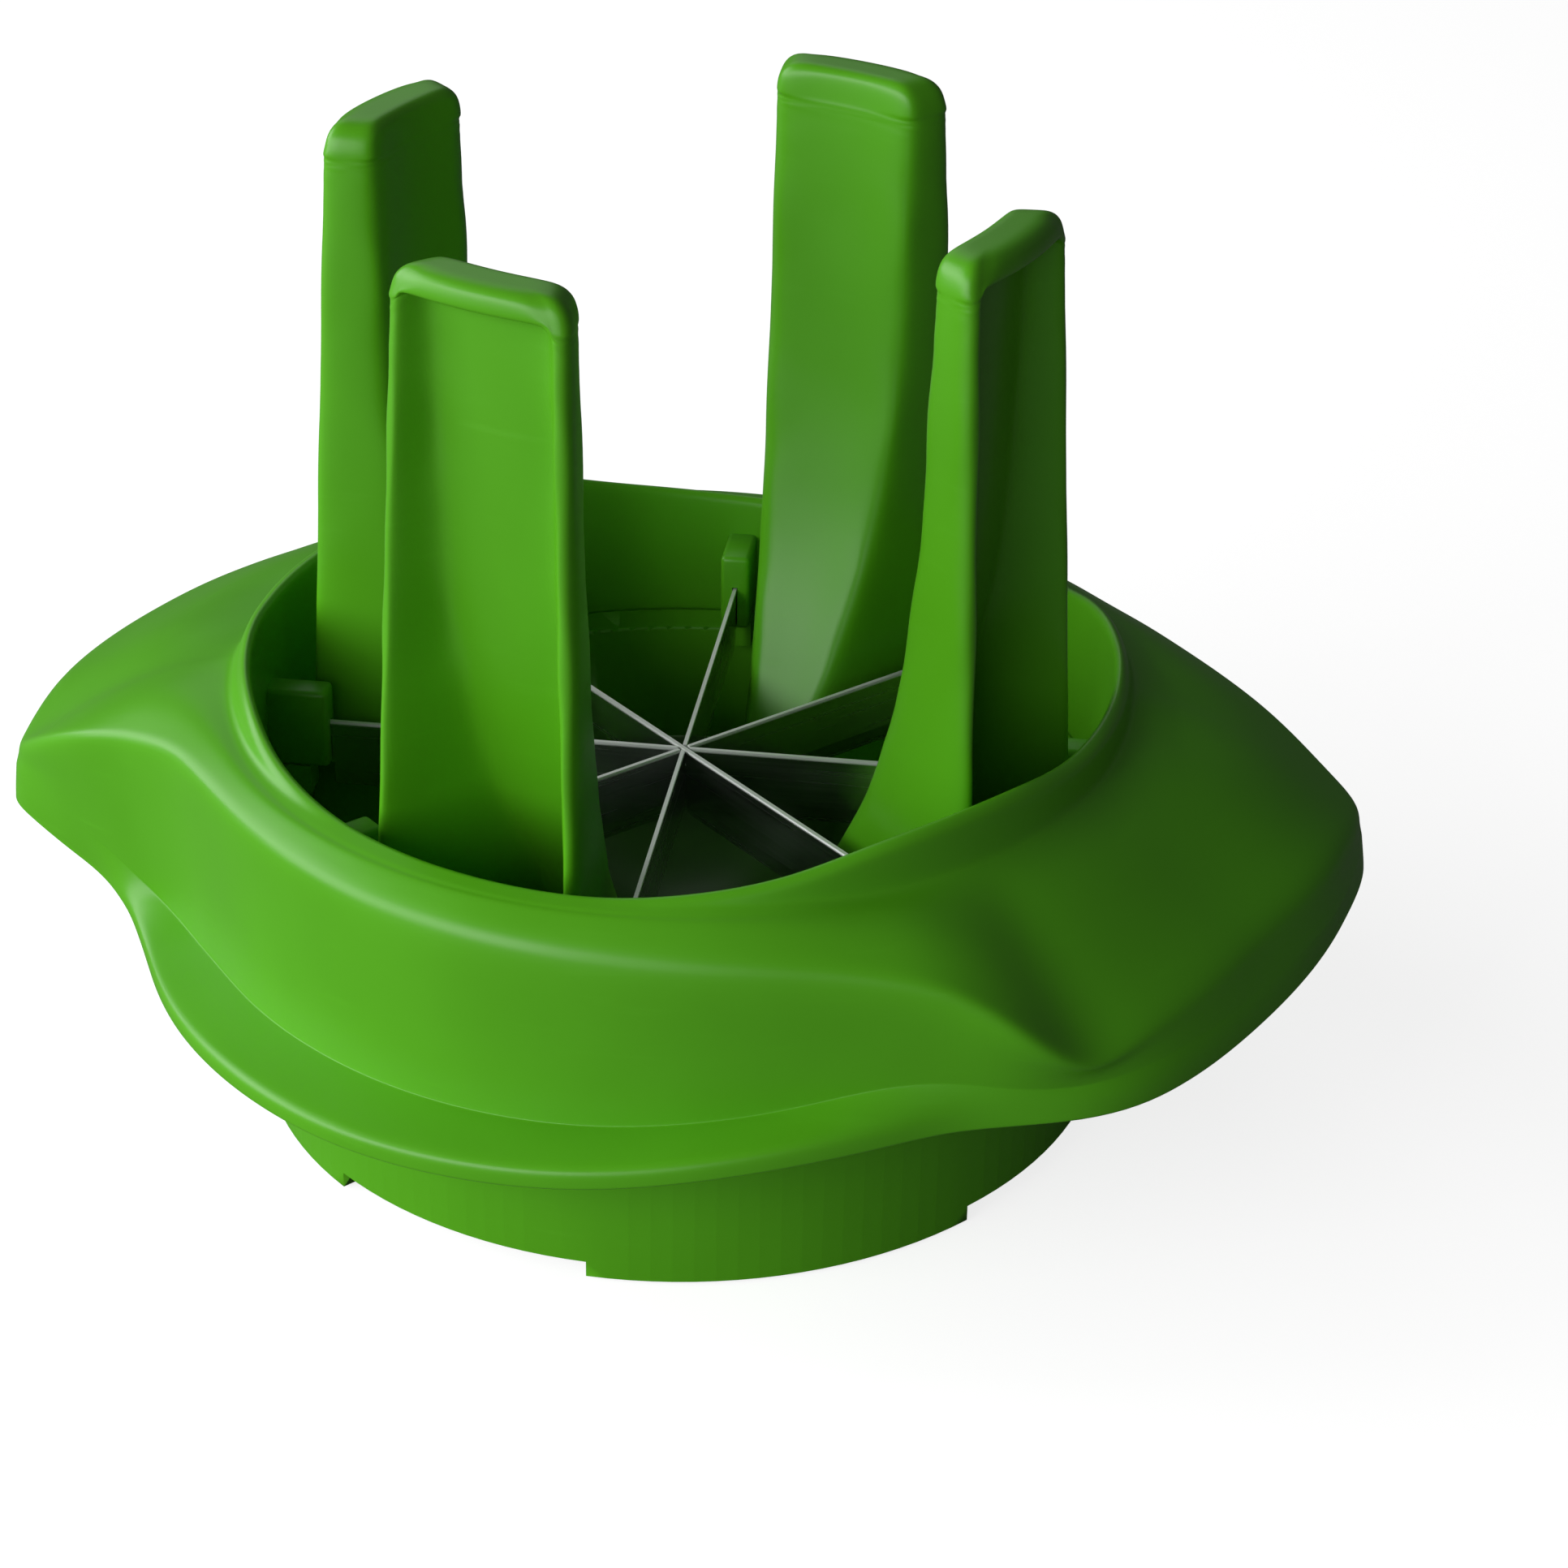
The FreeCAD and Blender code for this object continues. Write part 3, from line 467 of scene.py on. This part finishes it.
def box(name, low, high, bevel=0.0):
    """A block between two corners, in millimetres, its edges rounded where a bevel is given."""
    deselect()
    middle = [(a + b) / 2 * MM for a, b in zip(low, high)]
    bpy.ops.mesh.primitive_cube_add(size=MM, location=(0.0, 0.0, 0.0))
    piece = bpy.context.object
    piece.name = name
    bpy.ops.object.mode_set(mode="EDIT")
    bpy.ops.mesh.select_all(action="SELECT")
    bpy.ops.transform.resize(value=[b - a for a, b in zip(low, high)])
    bpy.ops.transform.translate(value=middle)
    bpy.ops.object.mode_set(mode="OBJECT")
    if bevel:
        edges = piece.modifiers.new("edges", "BEVEL")
        edges.width = bevel * MM
        edges.segments = 3
        apply_modifiers(piece)
    return piece


def frame_posts():
    """Eight posts inside the throat, each slotted from below for the end of a blade."""
    side, gap = POST_WIDTH / 2, SLOT_WIDTH / 2
    post = box("post", (POST_INNER, -side, POST_BOTTOM), (THROAT_RADIUS + POST_BITE, side, POST_TOP),
               bevel=POST_EDGE)
    slot = box("slot", (POST_INNER - SLOT_OVERRUN, -gap, POST_BOTTOM - SLOT_OVERRUN),
               (SLOT_REACH, gap, SLOT_TOP))
    notch = post.modifiers.new("slot", "BOOLEAN")
    notch.object = slot
    notch.operation = "DIFFERENCE"
    notch.solver = "EXACT"
    apply_modifiers(post)
    bpy.data.objects.remove(slot)
    activate(post)
    bpy.ops.object.shade_smooth_by_angle(angle=CREASE)
    return turned_copies(post, POSTS)


def frame_bosses():
    """Four round bosses outside the throat wall that take the retainer's screws."""
    deselect()
    top = BLADE_TOP + DECK_FOOT - WALL / 2
    bpy.ops.mesh.primitive_cylinder_add(vertices=48, radius=BOSS_RADIUS * MM, depth=(top - SEAM) * MM,
                                        location=(BOSS_CIRCLE * MM, 0.0, (top + SEAM) / 2 * MM))
    boss = bpy.context.object
    bpy.ops.object.transform_apply(location=True, rotation=False, scale=False)
    bpy.ops.object.shade_smooth_by_angle(angle=CREASE)
    return turned_copies(boss, BOSSES, FIRST_BOSS)


# ---------------------------------------------------------------- the finger cradle

def flank_gap(z, inset=0.0):
    """Distance of a flank, or of a channel's side wall, from the middle of the blade beside it."""
    return FINGER_GAP + inset + (z - CRADLE_FLOOR) * math.tan(FINGER_DRAFT)


def outside_radius(z):
    """Radius of a finger's outer face, which leans inward to its top."""
    return FOOT_RADIUS - FINGER_LEAN * (z - CRADLE_FLOOR) / (CRADLE_TOP - CRADLE_FLOOR)


def pocket_radius(z, growth=0.0):
    """Radius of the fruit's pocket: a slightly opening bore above a long ellipsoid."""
    if z >= POCKET_LEVEL:
        return POCKET_RADIUS + growth + (z - POCKET_LEVEL) * math.tan(POCKET_DRAFT)
    drop = (POCKET_LEVEL - z) / (POCKET_DEPTH + growth)
    return (POCKET_RADIUS + growth) * math.sqrt(max(0.0, 1.0 - drop * drop))


def flank_corner(radius, z, inset=0.0):
    """Where a flank meets a round face, in the finger's own axes: outward, sideways."""
    gap = flank_gap(z, inset)
    along = math.sqrt(max(0.0, radius * radius - gap * gap))
    corner = Vector((along * math.cos(SECTOR) + gap * math.sin(SECTOR),
                     along * math.sin(SECTOR) - gap * math.cos(SECTOR)))
    if corner.y < FINGER_NOSE:
        corner = Vector(((FINGER_NOSE + gap / math.cos(SECTOR)) / math.tan(SECTOR), FINGER_NOSE))
    return corner


def across(corner, share):
    """Point of the round face that ends at a corner, at a share of the way from its middle."""
    radius = corner.length
    if corner.y <= FINGER_NOSE:
        return Vector((corner.x, share * corner.y))
    side = share * corner.y
    return Vector((math.sqrt(radius * radius - side * side), side))


FLANK, FACE = 4, 6                      # points of a finger's outline: middle of the flank, outer face's end


def finger_outline(z):
    """Half of a finger's section, from the middle of its fruit side round to the middle of its channel."""
    inner = flank_corner(pocket_radius(z), z)
    outer = flank_corner(outside_radius(z), z)
    rim = flank_corner(outside_radius(z), z, RIB)
    back = flank_corner(pocket_radius(z, WEB), z, RIB)
    wall = Vector((math.cos(SECTOR), math.sin(SECTOR)))
    deep = min(HOLLOW_CUT, 0.4 * (rim - back).length)
    shell = [across(inner, 0.0), across(inner, 0.5), across(inner, 1.0 - EDGE_CUT / inner.y),
             inner + wall * EDGE_CUT, (inner + outer) / 2, outer - wall * EDGE_CUT,
             across(outer, 1.0 - EDGE_CUT / outer.y), across(rim, 1.0 + 0.7 * RIM_CUT / rim.y)]
    hollow = [rim - wall * RIM_CUT, back + wall * deep, across(back, 1.0 - deep / back.y),
              across(back, 0.5), across(back, 0.0)]
    skin = [across(rim, share) for share in (1.0, 0.86, 0.7, 0.36, 0.0)]
    return shell, hollow, skin


def finger_rows():
    """Cage rows of a finger from its foot to its top, each closed round the section."""
    rows = []
    for z, hollow_z, closed in FINGER_LEVELS:
        shell = finger_outline(z)[0]
        _, hollow, skin = finger_outline(hollow_z)
        half = [(*point, z) for point in shell]
        half += [(*(deep * (1.0 - closed) + out * closed), hollow_z) for deep, out in zip(hollow, skin)]
        rows.append(half)
    shell, _, skin = finger_outline(CRADLE_TOP)
    plan = shell + skin
    breadth = shell[FLANK].y
    middle = (shell[0].x + shell[FACE].x) / 2
    for turn in (0.0, 30.0, 60.0, 90.0):
        sunk = 1.0 - math.sin(math.radians(turn))
        inset = 1.0 - math.cos(math.radians(turn))
        depth = 1.0 - 2.0 * TOP_EDGE * inset / (shell[FACE].x - shell[0].x)
        width = 1.0 - SHOULDER * inset / breadth
        ring = []
        for point in plan:
            share = min(1.0, max(0.0, (point.y / breadth - 0.55) / 0.45))
            radius = TOP_EDGE + (SHOULDER - TOP_EDGE) * share * share * (3.0 - 2.0 * share)
            ring.append((middle + (point.x - middle) * depth, point.y * width, CRADLE_TOP - radius * sunk))
        rows.append(ring)
    rows.append([(middle + (x - middle) * 0.5, 0.6 * y, CRADLE_TOP) for x, y, _ in rows[-1]])
    return rows, (middle, 0.0, CRADLE_TOP)


def cradle_fingers():
    """One finger from a sphere whose rings are moved on to the rows, then four turned copies."""
    rows, crown = finger_rows()
    half = len(rows[0])
    around = 2 * half - 2
    deselect()
    bpy.ops.mesh.primitive_uv_sphere_add(segments=around, ring_count=len(rows) + 1, radius=10 * MM)
    finger = bpy.context.object
    rings = {}
    for vertex in finger.data.vertices:
        rings.setdefault(round(vertex.co.z / MM, 4), []).append(vertex)
    levels = sorted(rings)
    for level, row in zip(levels[1:-1], rows):
        ring = sorted(rings[level], key=lambda vertex: math.atan2(vertex.co.y, -vertex.co.x) % (2 * math.pi))
        mirrored = [(x, -y, z) for x, y, z in row[-2:0:-1]]
        for vertex, place in zip(ring, row + mirrored):
            vertex.co = Vector(place) * MM
    rings[levels[0]][0].co = Vector((0.5 * (rows[0][0][0] + rows[0][FACE][0]), 0.0, CRADLE_FLOOR)) * MM
    rings[levels[-1]][0].co = Vector(crown) * MM
    round_cage(finger)
    return turned_copies(finger, FINGERS, FIRST_FINGER)


def cradle_bowl():
    """Bowl between the fingers: the lower cap of a long ellipsoid, given its thickness."""
    deselect()
    bpy.ops.mesh.primitive_uv_sphere_add(segments=96, ring_count=96, radius=MM)
    bowl = bpy.context.object
    bpy.ops.object.mode_set(mode="EDIT")
    bpy.ops.mesh.select_all(action="SELECT")
    bpy.ops.transform.resize(value=(POCKET_RADIUS, POCKET_RADIUS, POCKET_DEPTH))
    bpy.ops.transform.translate(value=(0.0, 0.0, POCKET_LEVEL * MM))
    bpy.ops.mesh.bisect(plane_co=(0.0, 0.0, BOWL_RIM * MM), plane_no=(0.0, 0.0, 1.0), clear_outer=True)
    bpy.ops.object.mode_set(mode="OBJECT")
    wall = bowl.modifiers.new("wall", "SOLIDIFY")
    wall.thickness = WEB * MM
    wall.offset = 1.0
    edge = bowl.modifiers.new("edge", "BEVEL")
    edge.width = BOWL_EDGE * MM
    edge.segments = 3
    apply_modifiers(bowl)
    bpy.ops.object.shade_smooth_by_angle(angle=CREASE)
    return bowl


# ---------------------------------------------------------------- camera, light and floor

def make_camera():
    """Camera turned from straight down by its azimuth, elevation and roll."""
    data = bpy.data.cameras.new("camera")
    data.lens = LENS
    data.sensor_width = SENSOR
    camera = bpy.data.objects.new("camera", data)
    bpy.context.scene.collection.objects.link(camera)
    turn = (Matrix.Rotation(math.radians(CAMERA_AZIMUTH), 4, "Z")
            @ Matrix.Rotation(math.radians(90.0 - CAMERA_ELEVATION), 4, "X")
            @ Matrix.Rotation(math.radians(CAMERA_ROLL), 4, "Z"))
    camera.matrix_world = Matrix.Translation(CAMERA_PLACE) @ turn
    bpy.context.scene.camera = camera


def soft_box(name, azimuth, elevation, power):
    """Square lamp on the arc round the object, turned to its middle."""
    around, above = math.radians(azimuth), math.radians(elevation)
    reach = LAMP_DISTANCE * math.cos(above)
    away = Vector((reach * math.cos(around), reach * math.sin(around), LAMP_DISTANCE * math.sin(above)))
    data = bpy.data.lights.new(name, "AREA")
    data.shape = "SQUARE"
    data.size = LAMP_SIZE
    data.energy = power
    lamp = bpy.data.objects.new(name, data)
    bpy.context.scene.collection.objects.link(lamp)
    lamp.location = Vector(LAMP_TARGET) + away
    lamp.rotation_euler = (-away).to_track_quat("-Z", "Y").to_euler()


def make_world():
    """Dark studio round the object, with plain white where the camera sees past it."""
    world = bpy.data.worlds.new("studio")
    bpy.context.scene.world = world
    world.use_nodes = True
    nodes = world.node_tree.nodes
    links = world.node_tree.links
    nodes.clear()
    light = nodes.new("ShaderNodeBackground")
    light.inputs["Color"].default_value = (1.0, 1.0, 1.0, 1.0)
    light.inputs["Strength"].default_value = WORLD_LIGHT
    seen = nodes.new("ShaderNodeBackground")
    seen.inputs["Color"].default_value = (1.0, 1.0, 1.0, 1.0)
    seen.inputs["Strength"].default_value = 1.0
    path = nodes.new("ShaderNodeLightPath")
    mix = nodes.new("ShaderNodeMixShader")
    output = nodes.new("ShaderNodeOutputWorld")
    links.new(path.outputs["Is Camera Ray"], mix.inputs["Fac"])
    links.new(light.outputs["Background"], mix.inputs[1])
    links.new(seen.outputs["Background"], mix.inputs[2])
    links.new(mix.outputs["Shader"], output.inputs["Surface"])


def make_floor():
    """White floor that keeps a faint shadow, and that throws little light back up."""
    bpy.ops.mesh.primitive_plane_add(size=FLOOR_SIZE, location=(0.0, 0.0, -FLOOR_DROP))
    floor = bpy.context.object
    floor.name = "floor"
    material = bpy.data.materials.new("floor_white")
    material.use_nodes = True
    nodes = material.node_tree.nodes
    links = material.node_tree.links
    surface = nodes["Principled BSDF"]
    surface.inputs["Base Color"].default_value = (FLOOR_SEEN, FLOOR_SEEN, FLOOR_SEEN, 1.0)
    surface.inputs["Roughness"].default_value = FLOOR_ROUGHNESS
    bounce = nodes.new("ShaderNodeBsdfDiffuse")
    bounce.inputs["Color"].default_value = (FLOOR_BOUNCE, FLOOR_BOUNCE, FLOOR_BOUNCE, 1.0)
    glow = nodes.new("ShaderNodeEmission")
    glow.inputs["Strength"].default_value = FLOOR_GLOW
    path = nodes.new("ShaderNodeLightPath")
    add = nodes.new("ShaderNodeAddShader")
    mix = nodes.new("ShaderNodeMixShader")
    links.new(surface.outputs["BSDF"], add.inputs[0])
    links.new(glow.outputs["Emission"], add.inputs[1])
    links.new(path.outputs["Is Camera Ray"], mix.inputs["Fac"])
    links.new(bounce.outputs["BSDF"], mix.inputs[1])
    links.new(add.outputs["Shader"], mix.inputs[2])
    links.new(mix.outputs["Shader"], nodes["Material Output"].inputs["Surface"])
    floor.data.materials.append(material)


# ---------------------------------------------------------------- materials

def effect_group(name, inputs, outputs):
    """An empty node group with named sockets, and its two ends."""
    group = bpy.data.node_groups.new(name, "ShaderNodeTree")
    for label, kind, value in inputs:
        socket = group.interface.new_socket(name=label, in_out="INPUT", socket_type=kind)
        if value is not None:
            socket.default_value = value
    for label, kind in outputs:
        group.interface.new_socket(name=label, in_out="OUTPUT", socket_type=kind)
    return group, group.nodes.new("NodeGroupInput"), group.nodes.new("NodeGroupOutput")


def noise(group, place, scale, detail=2.0, stretch=None):
    """Noise on the piece's own coordinates, drawn out along an axis where stretch says so."""
    texture = group.nodes.new("ShaderNodeTexNoise")
    texture.inputs["Scale"].default_value = scale
    texture.inputs["Detail"].default_value = detail
    if stretch:
        mapping = group.nodes.new("ShaderNodeMapping")
        mapping.inputs["Scale"].default_value = stretch
        group.links.new(place, mapping.inputs["Vector"])
        place = mapping.outputs["Vector"]
    group.links.new(place, texture.inputs["Vector"])
    return texture.outputs["Fac"]


def spread(group, value, source, target):
    """Value carried from one range to another, held at its ends."""
    node = group.nodes.new("ShaderNodeMapRange")
    node.inputs["From Min"].default_value, node.inputs["From Max"].default_value = source
    node.inputs["To Min"].default_value, node.inputs["To Max"].default_value = target
    group.links.new(value, node.inputs["Value"])
    return node.outputs["Result"]


def arithmetic(group, operation, first, second):
    """Result of a math node on two sockets or numbers."""
    node = group.nodes.new("ShaderNodeMath")
    node.operation = operation
    for socket, value in zip(node.inputs, (first, second)):
        if isinstance(value, (int, float)):
            socket.default_value = value
        else:
            group.links.new(value, socket)
    return node.outputs["Value"]


def scaled_colour(group, colour, factor):
    """Colour made lighter or darker by a factor."""
    node = group.nodes.new("ShaderNodeVectorMath")
    node.operation = "SCALE"
    group.links.new(colour, node.inputs[0])
    group.links.new(factor, node.inputs["Scale"])
    return node.outputs["Vector"]


def moulding_effects():
    """Injection-moulded skin: slow flow marks, faint handling scuffs, a wavy gloss and a fine grain."""
    group, start, end = effect_group(
        "moulding_effects",
        (("Place", "NodeSocketVector", None), ("Colour", "NodeSocketColor", (0.1, 0.4, 0.02, 1.0)),
         ("Roughness", "NodeSocketFloat", 0.35)),
        (("Colour", "NodeSocketColor"), ("Roughness", "NodeSocketFloat"), ("Coat", "NodeSocketFloat"),
         ("Height", "NodeSocketFloat")))
    place = start.outputs["Place"]
    flow = noise(group, place, 11.0, 3.0)
    cloud = noise(group, place, 42.0, 2.0)
    scuffs = spread(group, noise(group, place, 60.0, 4.0, stretch=(1.0, 1.0, 9.0)), (0.62, 0.74), (0.0, 1.0))
    waves = noise(group, place, 95.0, 1.0)
    grain = noise(group, place, 1700.0, 2.0)
    tone = arithmetic(group, "ADD", spread(group, flow, (0.3, 0.7), (0.95, 1.04)),
                      spread(group, cloud, (0.3, 0.7), (-0.025, 0.025)))
    tone = arithmetic(group, "ADD", tone, arithmetic(group, "MULTIPLY", scuffs, 0.03))
    group.links.new(scaled_colour(group, start.outputs["Colour"], tone), end.inputs["Colour"])
    gloss = arithmetic(group, "ADD", start.outputs["Roughness"],
                       spread(group, cloud, (0.3, 0.7), (-0.03, 0.03)))
    gloss = arithmetic(group, "ADD", gloss, arithmetic(group, "MULTIPLY", scuffs, 0.07))
    group.links.new(gloss, end.inputs["Roughness"])
    group.links.new(spread(group, flow, (0.3, 0.7), (0.02, 0.1)), end.inputs["Coat"])
    height = arithmetic(group, "ADD", arithmetic(group, "MULTIPLY", waves, 0.05),
                        arithmetic(group, "MULTIPLY", grain, 0.004))
    group.links.new(height, end.inputs["Height"])
    return group


def steel_effects():
    """Ground steel: brushing along the strip, faint stains, and a rolled cutting edge, rougher and less
    metallic, with a painted highlight in its colour.
    """
    group, start, end = effect_group(
        "steel_effects",
        (("Place", "NodeSocketVector", None), ("Colour", "NodeSocketColor", (0.6, 0.6, 0.6, 1.0)),
         ("Roughness", "NodeSocketFloat", 0.25), ("Edge height", "NodeSocketFloat", 1.0)),
        (("Colour", "NodeSocketColor"), ("Roughness", "NodeSocketFloat"), ("Metallic", "NodeSocketFloat"),
         ("Height", "NodeSocketFloat")))
    place = start.outputs["Place"]
    axes = group.nodes.new("ShaderNodeSeparateXYZ")
    group.links.new(place, axes.inputs["Vector"])
    brushing = noise(group, place, 18.0, 2.0, stretch=(1.0, 1.0, 160.0))
    stains = noise(group, place, 45.0, 3.0)
    above = arithmetic(group, "SUBTRACT", axes.outputs["Z"], start.outputs["Edge height"])
    # Band at the cutting edge: rougher, less metallic and rolled, and carrying a painted highlight.
    band = spread(group, above, (-0.25 * MM, 0.0), (0.0, 1.0))
    tone = arithmetic(group, "ADD", spread(group, brushing, (0.3, 0.7), (0.95, 1.03)),
                      spread(group, stains, (0.3, 0.7), (-0.05, 0.02)))
    # Painted highlight: the colour is lifted by up to 0.45 in the band at the cutting edge.
    tone = arithmetic(group, "ADD", tone, arithmetic(group, "MULTIPLY", band, 0.45))
    group.links.new(scaled_colour(group, start.outputs["Colour"], tone), end.inputs["Colour"])
    gloss = arithmetic(group, "ADD", start.outputs["Roughness"],
                       spread(group, brushing, (0.3, 0.7), (-0.03, 0.04)))
    gloss = arithmetic(group, "ADD", gloss, arithmetic(group, "MULTIPLY", band, 0.2))
    group.links.new(gloss, end.inputs["Roughness"])
    group.links.new(spread(group, band, (0.0, 1.0), (1.0, 0.35)), end.inputs["Metallic"])
    rolled = arithmetic(group, "MULTIPLY", arithmetic(group, "MAXIMUM", above, 0.0), -1.2 / MM)
    height = arithmetic(group, "ADD", rolled, arithmetic(group, "MULTIPLY", brushing, 0.0008))
    group.links.new(height, end.inputs["Height"])
    return group


def dressed(name, effects, settings, bump_distance, links):
    """Material whose surface takes what a group of effects gives on the piece's own coordinates."""
    material = bpy.data.materials.new(name)
    material.use_nodes = True
    tree = material.node_tree
    surface = tree.nodes["Principled BSDF"]
    place = tree.nodes.new("ShaderNodeTexCoord")
    look = tree.nodes.new("ShaderNodeGroup")
    look.node_tree = effects
    tree.links.new(place.outputs["Object"], look.inputs["Place"])
    for label, value in settings.items():
        look.inputs[label].default_value = value
    for output, socket in links.items():
        tree.links.new(look.outputs[output], surface.inputs[socket])
    bump = tree.nodes.new("ShaderNodeBump")
    bump.inputs["Distance"].default_value = bump_distance
    tree.links.new(look.outputs["Height"], bump.inputs["Height"])
    tree.links.new(bump.outputs["Normal"], surface.inputs["Normal"])
    return material, surface


def moulded_plastic(name, colour, roughness, effects):
    """Moulded plastic with a faint coat."""
    material, surface = dressed(
        name, effects, {"Colour": (*colour, 1.0), "Roughness": roughness}, MM,
        {"Colour": "Base Color", "Roughness": "Roughness", "Coat": "Coat Weight"})
    surface.inputs["Specular IOR Level"].default_value = PLASTIC_SPECULAR
    surface.inputs["Coat Roughness"].default_value = COAT_ROUGHNESS
    return material


def ground_steel(name, colour, edge_height, effects):
    """Ground steel with a rougher, rolled finish and a painted highlight above the height of its cutting
    edge.
    """
    material, _ = dressed(
        name, effects, {"Colour": (*colour, 1.0), "Roughness": STEEL_ROUGHNESS, "Edge height": edge_height},
        MM, {"Colour": "Base Color", "Roughness": "Roughness", "Metallic": "Metallic"})
    return material


def dress_packed(names, material):
    """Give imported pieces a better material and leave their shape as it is."""
    for name in names:
        materials = frame["nodes"][name].data.materials
        materials.clear()
        materials.append(material)


make_camera()
make_world()
make_floor()
for lamp in SOFT_BOXES:
    soft_box(*lamp)
bpy.context.scene.view_settings.view_transform = "Standard"

moulding = moulding_effects()
steel = steel_effects()
FRAME_GREEN = moulded_plastic("frame_green", FRAME_COLOUR, PLASTIC_ROUGHNESS, moulding)
BASE_GREEN = moulded_plastic("base_green", BASE_COLOUR, PLASTIC_ROUGHNESS, moulding)
# The bowl's material is painted shade: a darkened copy of the base green.
BOWL_SHADED_GREEN = moulded_plastic("bowl_painted_shade", BOWL_SHADE_COLOUR, BOWL_ROUGHNESS, moulding)
# The blades' steel carries a painted highlight along the top of the cutting edge.
BLADE_STEEL = ground_steel("blade_steel", BLADE_COLOUR, (BLADE_TOP - EDGE_BAND) * MM, steel)
SCREW_STEEL = ground_steel("screw_steel", SCREW_COLOUR, NO_EDGE, steel)

ring = finish_piece(wing_ring(), "press_frame_ring", "press", FRAME_GREEN)
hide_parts("press_frame")
for number, post in enumerate(frame_posts(), start=1):
    finish_piece(post, "press_frame_post_%d" % number, "press", FRAME_GREEN)
for number, boss in enumerate(frame_bosses(), start=1):
    finish_piece(boss, "press_frame_boss_%d" % number, "press", FRAME_GREEN)
retainer = finish_piece(smooth_copy("blade_retainer"), "blade_retainer_moulding", "press", FRAME_GREEN)
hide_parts("blade_retainer")
tub = finish_piece(smooth_copy("base_tub"), "base_tub_moulding", "base", BASE_GREEN)
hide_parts("base_tub")
# The bowl takes the darkened green that paints the shade under the blades.
bowl = finish_piece(cradle_bowl(), "finger_cradle_bowl", "base", BOWL_SHADED_GREEN)
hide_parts("finger_cradle")
for number, finger in enumerate(cradle_fingers(), start=1):
    finish_piece(finger, "finger_cradle_finger_%d" % number, "base", BASE_GREEN)
dress_packed(("blade_1", "blade_2", "blade_3", "blade_4"), BLADE_STEEL)
dress_packed(("retainer_screws", "cradle_screws"), SCREW_STEEL)
